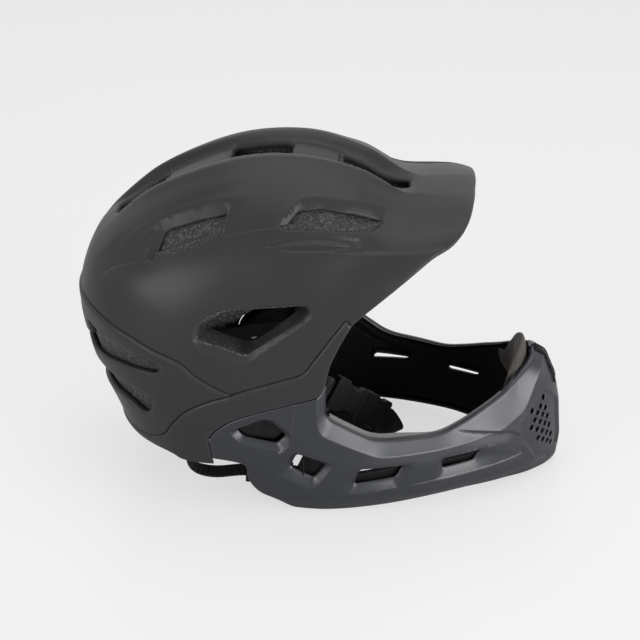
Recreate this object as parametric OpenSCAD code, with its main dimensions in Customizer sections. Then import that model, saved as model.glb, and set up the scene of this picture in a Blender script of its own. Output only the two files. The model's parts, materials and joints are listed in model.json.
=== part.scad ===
// Full face cycle helmet for a child: vented shell with a fixed visor over a foam core,
// and a chin guard that pulls off forwards once its two side buttons are pressed.
// Millimetres. +X is the wearer's front, +Y the wearer's left, +Z up, floor at Z = 0.

/* [Shell] */
// Half width of the shell at its widest
shell_half_w = 97; // [94:0.5:102]
// Wall of the three outer shells
shell_wall = 2; // [1.4:0.1:2.8]
// How much the half width falls off towards the visor
front_taper = 0.044; // [0:0.01:0.2]
// How much the half width falls off towards the nape
rear_taper = 0.42; // [0.3:0.01:0.5]
// Depth of the channel along the crown
channel_depth = 5; // [2:0.5:7]
// Half width of the channel's floor
channel_half_w = 13; // [9:0.5:16]
// Width of each sloping side of the channel
channel_side_w = 7; // [5:0.5:10]
// Depth of the sunk belt under the top ribs, where it meets the shoulder below it
belt_depth = 2.6; // [1:0.1:3.5]
// How far the ribs beside the channel stand out
rib_rise = 1.4; // [0.5:0.1:2]

/* [Foam core] */
// Foam thickness at the sides
foam_side = 20; // [16:0.5:24]
// Foam thickness at the crown
foam_top = 24; // [20:0.5:28]
// Foam thickness at the back of the head
foam_rear = 25; // [22:0.5:30]
// Length of the head cavity
cavity_len = 190; // [180:1:196]
// Depth of the blind vent pockets below the shell
pocket_depth = 2.5; // [1.5:0.5:6]
// Width of the opening for the dial in the rear edge
dial_notch_w = 46; // [42:1:56]
// Top of that opening
dial_notch_top = 62; // [60:0.5:70]

/* [Chin guard] */
// How far the chin guard reaches forward of the origin
guard_reach = 166.5; // [161:0.5:172]
// Wall of the chin guard
guard_wall = 2.6; // [2:0.1:3.2]
// Thickness of the guard's black lining at the sides
guard_lining = 5; // [4:0.25:6]
// Diameter of the breathing holes
breath_hole_d = 3.4; // [2.4:0.1:4]
// Spacing of the breathing holes along a row
breath_pitch = 5.5; // [5:0.1:6]
// Thickness of the chin pad at its middle
chin_pad_t = 9; // [6:0.5:11]

/* [Guard latch] */
// How far the guard's inner side plates lie in from the shell's widest line
plate_in = 24; // [23.4:0.1:24.5]
// Thickness of the side plates and their tongues
plate_t = 3.2; // [2.6:0.1:3.6]
// Height of the tongue that plugs into the shell
tongue_h = 12; // [9:0.5:14]
// Length of that tongue
tongue_len = 13; // [10:0.5:14]
// Clearance round the tongue
tongue_fit = 0.15; // [0.1:0.05:0.3]
// Wall of the receiver that takes the tongue
receiver_wall = 1.8; // [1.4:0.1:2]
// Travel of the release buttons
button_travel = 3; // [2:0.25:4]
// Radius of the button's stem
stem_r = 2.5; // [2:0.1:3]
// Running clearance round the stem
stem_fit = 0.08; // [0.04:0.01:0.1]
// Radius of the plate screws
screw_r = 1.5; // [1.2:0.1:1.8]

/* [Fit system] */
// Radius of the dial's knob
dial_r = 15; // [13:0.5:17]
// Thickness of the knob
dial_t = 9; // [7:0.5:10]
// Gear module of the pinion and the belts' teeth
gear_module = 1; // [1:0.1:1.2]
// Teeth on the pinion
pinion_teeth = 12; // [10:2:14]
// Width of the fit belts
belt_w = 10; // [8:0.5:12]
// Thickness of the fit belts
belt_t = 1.8; // [1.4:0.1:2.2]
// Radius of the dial's shaft
shaft_r = 3; // [2.5:0.1:3.5]
// Running clearance of the shaft
shaft_fit = 0.08; // [0.04:0.01:0.1]

// How far each belt is drawn in as the dial is turned
belt_travel = 14; // [8:1:16]

/* [Straps] */
// Width of the webbing
strap_w = 15; // [12:0.5:16]
// Thickness of the webbing
strap_t = 1.4; // [1:0.1:1.8]
// Width of the side release buckle
buckle_w = 24; // [22:0.5:28]
// Thickness of the buckle
buckle_t = 8; // [7:0.5:10]
// Gap between moving or soft pieces and what they lie against
easy_gap = 0.3; // [0.2:0.05:0.4]

/* [Hidden] */

charcoal = [0.2, 0.2, 0.21];
slate = [0.27, 0.28, 0.3];
black = [0.07, 0.07, 0.08];
foam_grey = [0.24, 0.23, 0.22];
pad_brown = [0.3, 0.28, 0.26];
steel = [0.6, 0.6, 0.62];

// The ear point, round which the side profile is drawn, as [x, z].
ear = [-38, 112];
// Side profile at the middle of the shell, as [x, z], from the visor's tip back over the crown.
// The last five points only steer the flow of the sides below the cut edges.
side_points = [
    [106, 197], [60, 201], [28, 217], [-9, 227], [-48, 225.5], [-85, 213], [-119, 193.5],
    [-149, 164], [-162, 123], [-154, 81], [-140, 48], [-124, 17], [-86, -20],
    [17, -38], [92, 37], [112, 112], [142, 164],
];
// Steps of the curve between two points, and the widths at which the shell has a line of points.
curve_steps = 3;
width_steps = [0, 0.065, 0.13, 0.17, 0.21, 0.28, 0.36, 0.45, 0.55, 0.65, 0.75, 0.79, 0.85, 0.905, 0.955, 0.987];

// The belt's two edges, as [angle round the ear point, width], and the lines of points that follow them.
belt_top = [[31, 0.28], [41, 0.16], [45, 0.19], [57, 0.32], [69, 0.4], [83, 0.45], [100, 0.485], [117, 0.49],
    [134, 0.52], [150, 0.47], [165, 0.45]];
belt_foot = [[31, 0.54], [42, 0.61], [60, 0.7], [80, 0.765], [105, 0.753], [141, 0.71], [160, 0.55], [165, 0.52]];
belt_top_step = 0.45;
belt_foot_step = 0.75;
shoulder_w = 0.1;

// Edges on the shell, seen from the side, as [x, z].
rear_crease = [
    [-180, 133], [-149, 127], [-130, 122], [-116, 118.5], [-103, 114], [-84, 108], [-74, 100], [-62, 93],
];
crease_joint = [-50, 88];
band_crease_rear = [[-180, 38], [-116, 38.5], [-106, 41], [-98, 46.5], [-90, 60], [-80, 72], [-64, 82]];
band_crease_front = [[-37, 93], [-17, 100], [-4, 105], [3, 114], [14, 130], [24, 144]];
front_corner = [11.5, 99];
front_edge = [[14, 110], [17, 118], [22.5, 130], [28, 140]];
brow_edge = [[39, 150], [61, 168], [78, 180.5], [90, 185.5], [97, 191], [103, 195.5], [112, 196.5]];
guard_seam = [
    [10, 93], [6, 88], [-10, 82.7], [-30, 76], [-50, 67.7], [-60, 60], [-66, 52], [-66, 41], [-64.5, 28.5],
];
shell_hem = [[-73, 27.8], [-87, 27.2], [-102, 30.5], [-180, 32]];

// Openings, seen from the side.
window = [
    [-73, 127], [-71, 134], [-67, 138], [-53, 145.5], [-42, 147.5], [-8, 151.5], [-2, 151.5],
    [1, 148], [0, 143.5], [-34, 119], [-38, 117], [-43, 117], [-56, 121], [-70, 124.5],
];
rear_side_vent = [
    [-110, 168], [-108.5, 176.5], [-105.5, 183.5], [-102, 188.5], [-93.5, 193.5], [-75, 201.5], [-55.5, 208],
    [-52, 207.5], [-57, 194.5], [-60.5, 190], [-82, 181],
];
front_side_vent = [
    [-22, 198.5], [-17.5, 204], [-12.5, 208.5], [-5, 212.3], [7, 211.8], [27.5, 207.8], [49.5, 199.5], [51, 198],
    [41.5, 194], [10, 197],
];
side_scoop = [[-30, 188.5], [-14, 193.5], [-1, 195.5], [14, 194.5], [36, 189.5], [31, 187.5], [-19, 186]];
rear_slots = [
    [[-152, 113], [-141, 109.5], [-149, 98]],
    [[-160, 96], [-151, 103], [-136, 109.5], [-95.5, 103], [-99.5, 95.5], [-130, 93], [-150, 88]],
    [[-158, 74], [-146, 82], [-105.5, 76.5], [-103, 73], [-107.5, 60], [-114, 58.5], [-127, 64], [-150, 64]],
];
slot_spine = 12;
// Openings along the crown: [rear x, front x, rear half width, front half width].
crown_vents = [[-138, -104, 9, 13], [-59, -17, 13, 12], [15, 60, 10, 7]];

reach = 260;
gap = 0.3;
foam_inset = shell_wall + gap;
cavity_half_w = shell_half_w - foam_inset - foam_side;
cavity_top = side_points[3].y - foam_inset - foam_top;
cavity_x = side_points[8].x + foam_inset + foam_rear + cavity_len / 2;
cavity_power = 2.2;

function sq(v) = v * v;
function clamp01(v) = min(1, max(0, v));
function ease(v) = let (u = clamp01(v)) u * u * (3 - 2 * u);
function backwards(p) = [for (i = [len(p) - 1 : -1 : 0]) p[i]];

// A smooth closed curve through points, each span in equal steps.
function span(a, b, c, d, t) = (2 * b + (c - a) * t + (2 * a - 5 * b + 4 * c - d) * t * t
    + (3 * b - a - 3 * c + d) * t * t * t) / 2;
function closed_curve(p, steps) = let (n = len(p))
    [for (i = [0 : n - 1], k = [0 : steps - 1])
        span(p[(i + n - 1) % n], p[i], p[(i + 1) % n], p[(i + 2) % n], k / steps)];
// A smooth open curve through points.
function open_curve(p, steps) = let (n = len(p)) concat(
    [for (i = [0 : n - 2], k = [0 : steps - 1])
        span(p[max(i - 1, 0)], p[i], p[i + 1], p[min(i + 2, n - 1)], k / steps)], [p[n - 1]]);

side_curve = closed_curve(side_points, curve_steps);

// Half width of the shell at x, and how boxy its cross-section is near a profile point.
function half_width(x, inset) =
    (shell_half_w - inset) * (1 - sq((x + 50) / 150 * (x > -50 ? front_taper : rear_taper)));
function boxiness(x) = ease((x + 60) / 140);

// Depth of the crown channel at a point: full on its floor, nothing past its sides and its ends.
function channel(x, y) = channel_depth * (1 - ease((abs(y) - channel_half_w) / channel_side_w))
    * ease((x + 150) / 22) * (1 - ease((x - 44) / 24));

// The ribs that stand out beside the channel: [x, distance of the crest past the channel's edge].
rib_line = [[-120, 0.5], [-60, 7], [-5, 7], [40, -1], [66, -7]];
rib_half_w = 5.5;
function rib(x, y) = rib_rise * ease((x + 138) / 30) * ease((74 - x) / 30)
    * exp(-sq((abs(y) - channel_half_w - channel_side_w - lookup(x, rib_line)) / rib_half_w));
// Strength of the belt at an angle round the ear point, and its depth at a width there: from little
// under the rib's edge to full at its foot, then back out over the shoulder.
function belt_share(a) = ease((a - 33) / 14) * (1 - ease((a - 146) / 18));
function belt(a, t) = let (top = lookup(a, belt_top), foot = lookup(a, belt_foot))
    belt_depth * belt_share(a) * (t < foot ? clamp01((t - top + 0.02) / (foot - top)) : 1 - ease((t - foot) / shoulder_w));
// Moves the lines of points so that two of them run along the belt's edges.
function on_belt(w, a) = let (
    k = ease((a - 20) / 14) * (1 - ease((a - 158) / 22)),
    top = belt_top_step + (lookup(a, belt_top) - belt_top_step) * k,
    foot = belt_foot_step + (lookup(a, belt_foot) - belt_foot_step) * k
) w <= belt_top_step ? w / belt_top_step * top
    : w <= belt_foot_step ? top + (foot - top) * (w - belt_top_step) / (belt_foot_step - belt_top_step)
    : foot + (1 - foot) * (w - belt_foot_step) / (1 - belt_foot_step);

// A point of the shell at profile point p and signed width step, moved inwards by inset.
function shell_point(p, step, inset) = let (
    far = norm(p - ear),
    a = atan2(p.y - ear.y, p.x - ear.x),
    t = sign(step) * on_belt(abs(step), a),
    b = boxiness(p.x),
    round_n = 2.56 + 1.03 * b,
    round_m = 2.18 + 0.62 * b,
    rho = pow(1 - pow(abs(t), round_m), 1 / round_n),
    q = ear + (p - ear) * rho * (far - inset) / far,
    y = half_width(q.x, inset) * t,
    r = norm(q - ear),
    s = r > 1 ? ear + (q - ear) * (r - channel(q.x, y) - belt(a, abs(t)) + rib(q.x, y)) / r : q
) [s.x, y, s.y];

// The whole shell form as one closed solid, from the right ear over the middle to the left ear.
module shell_form(inset) {
    widths = concat([for (i = [len(width_steps) - 1 : -1 : 0]) -width_steps[i]],
        [for (i = [1 : len(width_steps) - 1]) width_steps[i]]);
    n = len(side_curve);
    rows = len(widths);
    points = concat(
        [[ear.x, -half_width(ear.x, inset), ear.y]],
        [for (t = widths, p = side_curve) shell_point(p, t, inset)],
        [[ear.x, half_width(ear.x, inset), ear.y]]);
    last = len(points) - 1;
    faces = concat(
        [for (i = [0 : n - 1]) [0, 1 + (i + 1) % n, 1 + i]],
        [for (j = [0 : rows - 2], i = [0 : n - 1], h = [0, 1]) let (
            a = 1 + j * n + i, b = 1 + j * n + (i + 1) % n, c = a + n, d = b + n
        ) h == 0 ? [a, b, d] : [a, d, c]],
        [for (i = [0 : n - 1]) let (k = 1 + (rows - 1) * n) [last, k + i, k + (i + 1) % n]]);
    polyhedron(points, faces);
}

// Everything inside a side outline, across the whole helmet or between two distances from its middle.
module side_prism(outline, from = 0, to = reach / 2) {
    if (from == 0)
        rotate([90, 0, 0]) linear_extrude(height = 2 * to, center = true) polygon(outline);
    else
        for (s = [-1, 1]) translate([0, s * (from + to) / 2, 0])
            rotate([90, 0, 0]) linear_extrude(height = to - from, center = true) polygon(outline);
}

// The head cavity. At height z its plan is scaled by wall_k, and a point of its wall can be asked for
// at a depth d inside the wall: half width at x, reach forwards at y, or height at (x, y).
function wall_k(z, d) = z <= 60 ? 0.94 + 0.06 * (z + 10) / 70 : z <= ear.y ? 1
    : pow(max(0, 1 - sq((z - ear.y) / (cavity_top - ear.y - d))), 0.45);
function wall_y(x, z, d = 0) = let (k = wall_k(z, d), u = abs(x - cavity_x) / ((cavity_len / 2 - d) * k))
    (cavity_half_w - d) * k * pow(max(0, 1 - pow(u, cavity_power)), 1 / cavity_power);
function wall_x(y, z, d = 0) = let (k = wall_k(z, d), u = abs(y) / ((cavity_half_w - d) * k))
    (cavity_len / 2 - d) * k * pow(max(0, 1 - pow(u, cavity_power)), 1 / cavity_power);
function wall_z(x, y, d = 0) = let (
    k = pow(pow(abs(x - cavity_x) / (cavity_len / 2 - d), cavity_power)
        + pow(abs(y) / (cavity_half_w - d), cavity_power), 1 / cavity_power)
) ear.y + (cavity_top - ear.y - d) * sqrt(max(0, 1 - pow(k, 2 / 0.9)));

cavity_sides = 44;
function cavity_ring(z, k) = [for (i = [0 : cavity_sides - 1]) let (
    a = 360 * i / cavity_sides, c = cos(a), s = sin(a),
    r = pow(pow(abs(c), cavity_power) + pow(abs(s), cavity_power), -1 / cavity_power)
) [cavity_x + cavity_len / 2 * k * r * c, cavity_half_w * k * r * s, z]];
module cavity_form() {
    rise = cavity_top - ear.y;
    floor_z = -10;
    levels = concat([floor_z, 60], [for (a = [0 : 11.25 : 79]) ear.y + rise * sin(a)]);
    n = cavity_sides;
    points = concat([for (z = levels) each cavity_ring(z, wall_k(z, 0))],
        [[cavity_x, 0, floor_z], [cavity_x, 0, cavity_top]]);
    rows = len(levels);
    faces = concat(
        [for (i = [0 : n - 1]) [rows * n, i, (i + 1) % n]],
        [for (j = [0 : rows - 2], i = [0 : n - 1], h = [0, 1]) let (
            a = j * n + i, b = j * n + (i + 1) % n, c = a + n, d = b + n
        ) h == 0 ? [a, d, b] : [a, c, d]],
        [for (i = [0 : n - 1]) let (k = (rows - 1) * n) [rows * n + 1, k + (i + 1) % n, k + i]]);
    polyhedron(points, faces);
}

// Slots along the crown, cut straight down.
module crown_cuts(bottom) {
    for (v = crown_vents) translate([0, 0, bottom]) linear_extrude(height = reach - bottom)
        polygon([[v[0], -v[2]], [v[1], -v[3]], [v[1], v[3]], [v[0], v[2]]]);
}

module dial_notch() {
    translate([-200, 0, 0]) rotate([90, 0, 90]) linear_extrude(height = 110) union() {
        translate([-dial_notch_w / 2, -10])
            square([dial_notch_w, dial_notch_top + 10 - dial_notch_w / 2 + 6]);
        intersection() {
            translate([0, dial_notch_top - dial_notch_w / 2 + 1]) circle(d = dial_notch_w, $fn = 40);
            translate([-reach / 2, 0]) square([reach, dial_notch_top]);
        }
    }
}

upper_outline = concat(rear_crease, [crease_joint], band_crease_front, [front_edge[3]], brow_edge,
    [[190, 197], [190, 260], [-180, 260]]);
rear_outline = concat(backwards(rear_crease), band_crease_rear, [crease_joint]);
lower_outline = concat(band_crease_rear, [crease_joint], band_crease_front, [front_edge[3]],
    backwards([for (i = [0 : 2]) front_edge[i]]), [front_corner], guard_seam, shell_hem);

module upper_shell() {
    color(charcoal) difference() {
        shell_form(0);
        shell_form(shell_wall);
        side_prism(concat(rear_crease, [crease_joint], band_crease_front, [front_edge[3]], brow_edge,
            [[190, 197], [190, -80], [-180, -80]]));
        side_prism(window);
        side_prism(rear_side_vent, 40, reach / 2);
        side_prism(front_side_vent, 36, reach / 2);
        side_prism(side_scoop, 50, reach / 2);
        crown_cuts(150);
    }
}

module rear_shell() {
    color(charcoal) difference() {
        intersection() {
            shell_form(0);
            side_prism(rear_outline);
        }
        shell_form(shell_wall);
        for (slot = rear_slots) side_prism(slot, slot_spine, reach / 2);
        dial_notch();
    }
}

module lower_shell(s) {
    color(charcoal) difference() {
        intersection() {
            shell_form(0);
            side_prism(lower_outline);
            translate([-reach, s > 0 ? 0 : -reach, -reach]) cube([2 * reach, reach, 2 * reach]);
        }
        shell_form(shell_wall);
        dial_notch();
    }
}

// The foam core stands back from the shells' edges.
foam_outline = [
    [-180, 38], [-116, 38], [-100, 36], [-88, 33], [-69, 34], [-69, 57], [-63.5, 63], [-50, 71.5], [-30, 80],
    [-10, 87], [3, 92], [8, 100], [11, 112], [19, 132], [26, 142], [38, 153], [58, 169.5], [76, 183],
    [88, 189.5], [91, 250], [-180, 250],
];

module foam_core() {
    color(foam_grey) difference() {
        intersection() {
            shell_form(foam_inset);
            side_prism(foam_outline);
        }
        cavity_form();
        side_prism(window);
        vent_pockets();
        crown_cuts(150);
        dial_notch();
        for (s = [-1, 1]) receiver_block(s, gap);
        for (s = [-1, 1], a = anchor_spots) at_wall(s, a)
            cylinder(h = anchor_t + 10, r = anchor_r + 0.2, $fn = 48);
        for (s = [-1, 1]) translate([pin_tip_x - 1, s * pin_y, pin_z]) rotate([0, 90, 0])
            cylinder(h = 30, r = pin_r + 0.05, $fn = 32);
    }
}

// Blind pockets behind the side and rear vents, as deep as the pocket depth below the shell.
module vent_pockets() {
    difference() {
        union() {
            side_prism(rear_side_vent, 40, reach / 2);
            side_prism(front_side_vent, 36, reach / 2);
            for (slot = rear_slots) side_prism(slot, slot_spine, reach / 2);
        }
        shell_form(foam_inset + pocket_depth);
    }
}

// A comfort pad on the cavity wall. The place function gives a point at (across, up) and a depth in
// from the wall. The pad is crowned, its sides draw in between its corners, and two channels run up it.
pad_gap = 0.8;
pad_across = [-1, -0.95, -0.84, -0.64, -0.42, -0.36, -0.3, -0.12, 0.12, 0.3, 0.36, 0.42, 0.64, 0.84, 0.95, 1];
pad_up = [-1, -0.92, -0.72, -0.4, 0, 0.4, 0.72, 0.92, 1];
function pad_crown(u, v) = pow((1 - pow(abs(u), 6)) * (1 - pow(abs(v), 6)), 0.4)
    * (1 - 0.5 * max(0, 1 - abs(abs(u) - 0.36) / 0.06));
function pad_point(place, half, u, v, depth) = let (corner = 1 - 0.09 * pow(abs(u * v), 4))
    place(half.x * u * (1 - 0.05 * (1 - v * v)) * corner, half.y * v * (1 - 0.05 * (1 - u * u)) * corner, depth);
module pad(place, half, thick, turned) {
    n = len(pad_across);
    m = len(pad_up);
    points = concat(
        [for (u = pad_across, v = pad_up) pad_point(place, half, u, v, pad_gap + thick * (0.35 + 0.65 * pad_crown(u, v)))],
        [for (u = pad_across, v = pad_up) pad_point(place, half, u, v, pad_gap)]);
    back = n * m;
    edge = concat([for (i = [0 : n - 2]) i * m], [for (j = [0 : m - 2]) (n - 1) * m + j],
        [for (i = [n - 1 : -1 : 1]) i * m + m - 1], [for (j = [m - 1 : -1 : 1]) j]);
    faces = concat(
        [for (i = [0 : n - 2], j = [0 : m - 2], h = [0, 1]) let (a = i * m + j, b = a + m)
            h == 0 ? [a, b, b + 1] : [a, b + 1, a + 1]],
        [for (i = [0 : n - 2], j = [0 : m - 2], h = [0, 1]) let (a = back + i * m + j, b = a + m)
            h == 0 ? [a, b + 1, b] : [a, a + 1, b + 1]],
        [for (k = [0 : len(edge) - 1], h = [0, 1]) let (a = edge[k], b = edge[(k + 1) % len(edge)])
            h == 0 ? [a, a + back, b + back] : [a, b + back, b]]);
    polyhedron(points, turned ? [for (f = faces) backwards(f)] : faces);
}

brow_at = [0, 175];
brow_half = [30, 11];
crown_half = [30, 19];
roof_pad_t = 6;
crown_pad_x = -81.5;
temple_at = [-42, 167];
cheek_at = [-42, 96];
cheek_rise = 0.3;
module brow_pad() {
    color(black) pad(function (p, q, d) [cavity_x + wall_x(p, brow_at.y + q, d), p, brow_at.y + q], brow_half,
        roof_pad_t, false);
}
module crown_pad() {
    color(black) pad(function (p, q, d) [crown_pad_x + q, p, wall_z(crown_pad_x + q, p, d)], crown_half,
        roof_pad_t, true);
}
module temple_pad(s) {
    color(black) pad(function (p, q, d) let (x = temple_at.x + p, z = temple_at.y + q) [x, s * wall_y(x, z, d), z],
        [35, 11], 7, s > 0);
}
module cheek_pad(s) {
    color(black) pad(function (p, q, d) let (x = cheek_at.x + p, z = cheek_at.y + q + cheek_rise * p)
        [x, s * wall_y(x, z, d), z], [18, 14.5], 9, s > 0);
}

// Receivers for the guard's tongues, moulded into the foam just behind the seam.
plate_y = shell_half_w - plate_in;
tongue_z = 50;
receiver_front = -69.3;
receiver_len = tongue_len + 3.5;
module receiver_block(s, grow) {
    h = tongue_h + 2 * (tongue_fit + receiver_wall);
    t = plate_t + 2 * (tongue_fit + receiver_wall);
    translate([receiver_front - receiver_len - grow, s * (plate_y + plate_t / 2) - t / 2 - grow,
        tongue_z - h / 2 - grow]) cube([receiver_len + 2 * grow, t + 2 * grow, h + 2 * grow]);
}
module guard_receiver(s) {
    h = tongue_h + 2 * tongue_fit;
    t = plate_t + 2 * tongue_fit;
    color(black) difference() {
        receiver_block(s, 0);
        translate([receiver_front - tongue_len - tongue_fit, s * (plate_y + plate_t / 2) - t / 2, tongue_z - h / 2])
            cube([tongue_len + receiver_len, t, h]);
    }
}

// Chin guard. Each station gives x and the section's outer line from the inner edge of the eye
// port down to the inner edge of the bottom, as [distance in from the widest line, z].
guard_sections = [
    [-66, [[1, 101], [2, 90], [4, 62], [8, 46], [12.5, 32], [16, 22], [20, 20]]],
    [-30, [[0.5, 101], [1, 90], [2, 62], [3, 40], [7, 18], [11, 8], [16, 7]]],
    [-10, [[0.5, 101], [0.5, 88], [0.5, 55], [1.5, 28], [4.5, 9], [9, 0.6], [15, 0]]],
    [11.5, [[0.5, 101], [0.5, 88], [0, 45], [1.5, 22], [4, 9], [8.5, 0], [15, 0]]],
    [17, [[6, 60], [0.5, 50], [0, 38], [1.5, 22], [4, 9], [8.5, 0], [15, 0]]],
    [45, [[7, 53], [0.5, 42], [0, 34], [1.5, 20], [4, 8], [9, 0.8], [15, 0.8]]],
    [85, [[7, 53.5], [0.5, 41], [0, 33], [1.5, 20], [4, 9], [9, 3], [15, 3]]],
    [105, [[7, 63], [0.5, 42], [0, 33], [1.5, 20], [4, 10], [9, 3.5], [15, 3.5]]],
    [130, [[7, 76], [1, 46], [0, 36], [1, 22], [3, 10], [8, 2.5], [14, 2.5]]],
    [150, [[12, 81], [5, 66], [1.5, 46], [0.5, 26], [1.5, 11], [6, 0.5], [12, 0]]],
    [164, [[22, 87.5], [13, 80], [6, 64], [2.5, 46], [1, 20], [3, 3], [9, 0]]],
];
guard_spans = [
    -66, -54, -42, -30, -20, -10, 0, 8, 11.5, 14, 17, 24, 34, 45, 56, 67, 78, 89, 99, 108, 117, 125.5, 133.5,
    140.5, 147, 152.5, 157, 160.3, 162.6, 163.75, 164,
];
guard_nominal = guard_spans[len(guard_spans) - 1];
function guard_x(v) = v > 0 ? v * guard_reach / guard_nominal : v;
function guard_half_w(v) = v <= 0 ? shell_half_w - 1
    : (shell_half_w - 1) * pow(max(0, 1 - pow(v / guard_nominal, 1.75)), 0.69);
// Direction out of the guard, seen from above.
function guard_out(v) = v <= 0 ? [0, -1] : v > guard_nominal - 0.01 ? [1, 0] : let (
    e = 0.4, dx = guard_x(v + e / 4) - guard_x(v - e), dy = guard_half_w(v + e / 4) - guard_half_w(v - e),
    l = norm([dx, dy])
) [-dy / l, -dx / l];
// The section at a station, part way between the two given ones.
function section_at(v) = let (
    n = len(guard_sections),
    i = max([for (k = [0 : n - 2]) v >= guard_sections[k][0] ? k : 0]),
    a = guard_sections[i], b = guard_sections[i + 1],
    t = clamp01((v - a[0]) / (b[0] - a[0]))
) [for (k = [0 : 6]) a[1][k] * (1 - t) + b[1][k] * t];
// A section line moved inwards by d along its own normals.
function inward(line, d) = [for (k = [0 : 6]) let (
    a = line[max(k - 1, 0)], b = line[min(k + 1, 6)], u = (b - a) / norm(b - a)
) line[k] + d * [-u.y, u.x]];
function guard_line(v, d) = let (line = inward(section_at(v), d), o = guard_out(v), y = guard_half_w(v))
    [for (p = line) [guard_x(v) - o.x * p.x, -y - o.y * p.x, p.y]];
// A closed bar through fourteen-cornered rings, each the outer line and then the inner line backwards.
// Its quads are split alike on both lines and on both sides of the middle ring.
module guard_bar(rings, middle) {
    n = 14;
    points = [for (r = rings) each r];
    rows = len(rings);
    top = (rows - 1) * n;
    faces = concat(
        [for (j = [0 : rows - 2], i = [0 : n - 1], h = [0, 1]) let (
            a = j * n + i, b = j * n + (i + 1) % n, c = a + n, d = b + n
        ) (i < 7) == (j < middle) ? (h == 0 ? [a, d, b] : [a, c, d]) : (h == 0 ? [a, c, b] : [b, c, d])],
        [for (i = [0 : 5]) each [[i, n - 2 - i, n - 1 - i], [i, i + 1, n - 2 - i]]],
        [for (i = [0 : 5]) each [[top + i, top + n - 1 - i, top + n - 2 - i], [top + i, top + n - 2 - i, top + i + 1]]]);
    polyhedron(points, faces);
}
// Between two depths below the guard's outside, over stations from first_x on. The inner depth is
// less by thin at the front, where the lining gives way to the chin pad.
module guard_form(near, deep, first_x, thin = 0) {
    spans = [for (v = guard_spans) if (v >= first_x) v];
    half = [for (v = spans) concat(guard_line(v, near), backwards(guard_line(v, deep - thin * ease((v - 90) / 34))))];
    other = [for (i = [len(half) - 2 : -1 : 0]) [for (p = half[i]) [p.x, -p.y, p.z]]];
    guard_bar(concat(half, other), len(half) - 1);
}
// The space outside the guard's skin beside its latch, from a little below its outside.
module outside_lug(s) {
    half = [for (v = guard_spans) if (v <= 0) concat(guard_line(v, -12), backwards(guard_line(v, 0.4)))];
    mirror([0, s > 0 ? 1 : 0, 0]) guard_bar(half, len(half));
}

seam_gap = 0.6;
guard_outline = concat([[-64.5, 33.5]],
    [for (i = [len(guard_seam) - 2 : -1 : 0]) guard_seam[i] + [seam_gap * 0.6, -seam_gap]],
    [[front_corner.x + seam_gap, front_corner.y], [200, 110], [200, -10], [-20, -10], [-31, 9], [-37, 14],
    [-41, 21], [-42, 30], [-46, 33]]);
button_window = [[-48, 58.5], [-29, 67], [-24, 65.5], [-16, 57], [-22, 50.5], [-44, 53.5]];
button_x = -32;
button_z = 58.5;
air_slots = [
    [[-8, 44], [12, 36.5], [3, 25], [-14, 34]],
    [[35.5, 30.5], [62, 31], [58, 24], [30, 21]],
    [[89, 30], [112.5, 31.5], [109.5, 26.5], [88.5, 26.5]],
];
screw_spots = [[-54, 50], [-13, 72]];

module guard_cuts() {
    for (slot = air_slots) side_prism([for (p = slot) [guard_x(p.x), p.y]], 30, reach / 2);
}
// Breathing holes either side of the front ridge: height of each row, its first hole's distance from
// the middle, and how many it has.
breath_rows = [[15, 5, 4], [22.5, 7.5, 5], [30, 11, 4], [38, 15, 4], [47, 18.5, 2], [55.5, 22, 1]];
breath_bore = 50;
module breath_holes() {
    for (s = [-1, 1], row = breath_rows, k = [0 : row[2] - 1])
        translate([guard_reach - breath_bore, s * (row[1] + k * breath_pitch), row[0]]) rotate([0, 90, 0])
            cylinder(h = breath_bore + 1, d = breath_hole_d, $fn = 16);
}

boss_r = screw_r + 2;
screw_bite = 6;
screw_len = plate_t + screw_bite;
pocket_deep = 15;
module chin_guard() {
    color(slate) difference() {
        union() {
            intersection() {
                guard_form(0, guard_wall, guard_spans[0]);
                side_prism(guard_outline);
            }
            for (s = [-1, 1]) difference() {
                union() {
                    for (p = screw_spots) translate([p.x, s * (plate_y + plate_t), p.y]) rotate([-s * 90, 0, 0])
                        cylinder(h = shell_half_w - plate_y - plate_t, r = boss_r, $fn = 32);
                    side_prism_at(shrink(button_window, [button_x, button_z], 1.25), s, shell_half_w - pocket_deep, pocket_deep);
                }
                outside_lug(s);
            }
        }
        side_prism(button_window, 60, reach / 2);
        guard_cuts();
        breath_holes();
        for (s = [-1, 1], p = screw_spots) translate([p.x, s * plate_y, p.y]) rotate([-s * 90, 0, 0])
            cylinder(h = screw_len + 1, r = screw_r, $fn = 32);
    }
}

module guard_lining() {
    color(black) difference() {
        guard_form(guard_wall + gap, guard_wall + gap + guard_lining, -10, guard_lining - 2);
        side_prism([[-30, 110], [-30, -20], [-4, -20], [-4, 60], [8, 110]]);
        guard_cuts();
        side_prism([[-30, 86], [14.5, 86], [14.5, 120], [-30, 120]]);
    }
}

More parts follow.
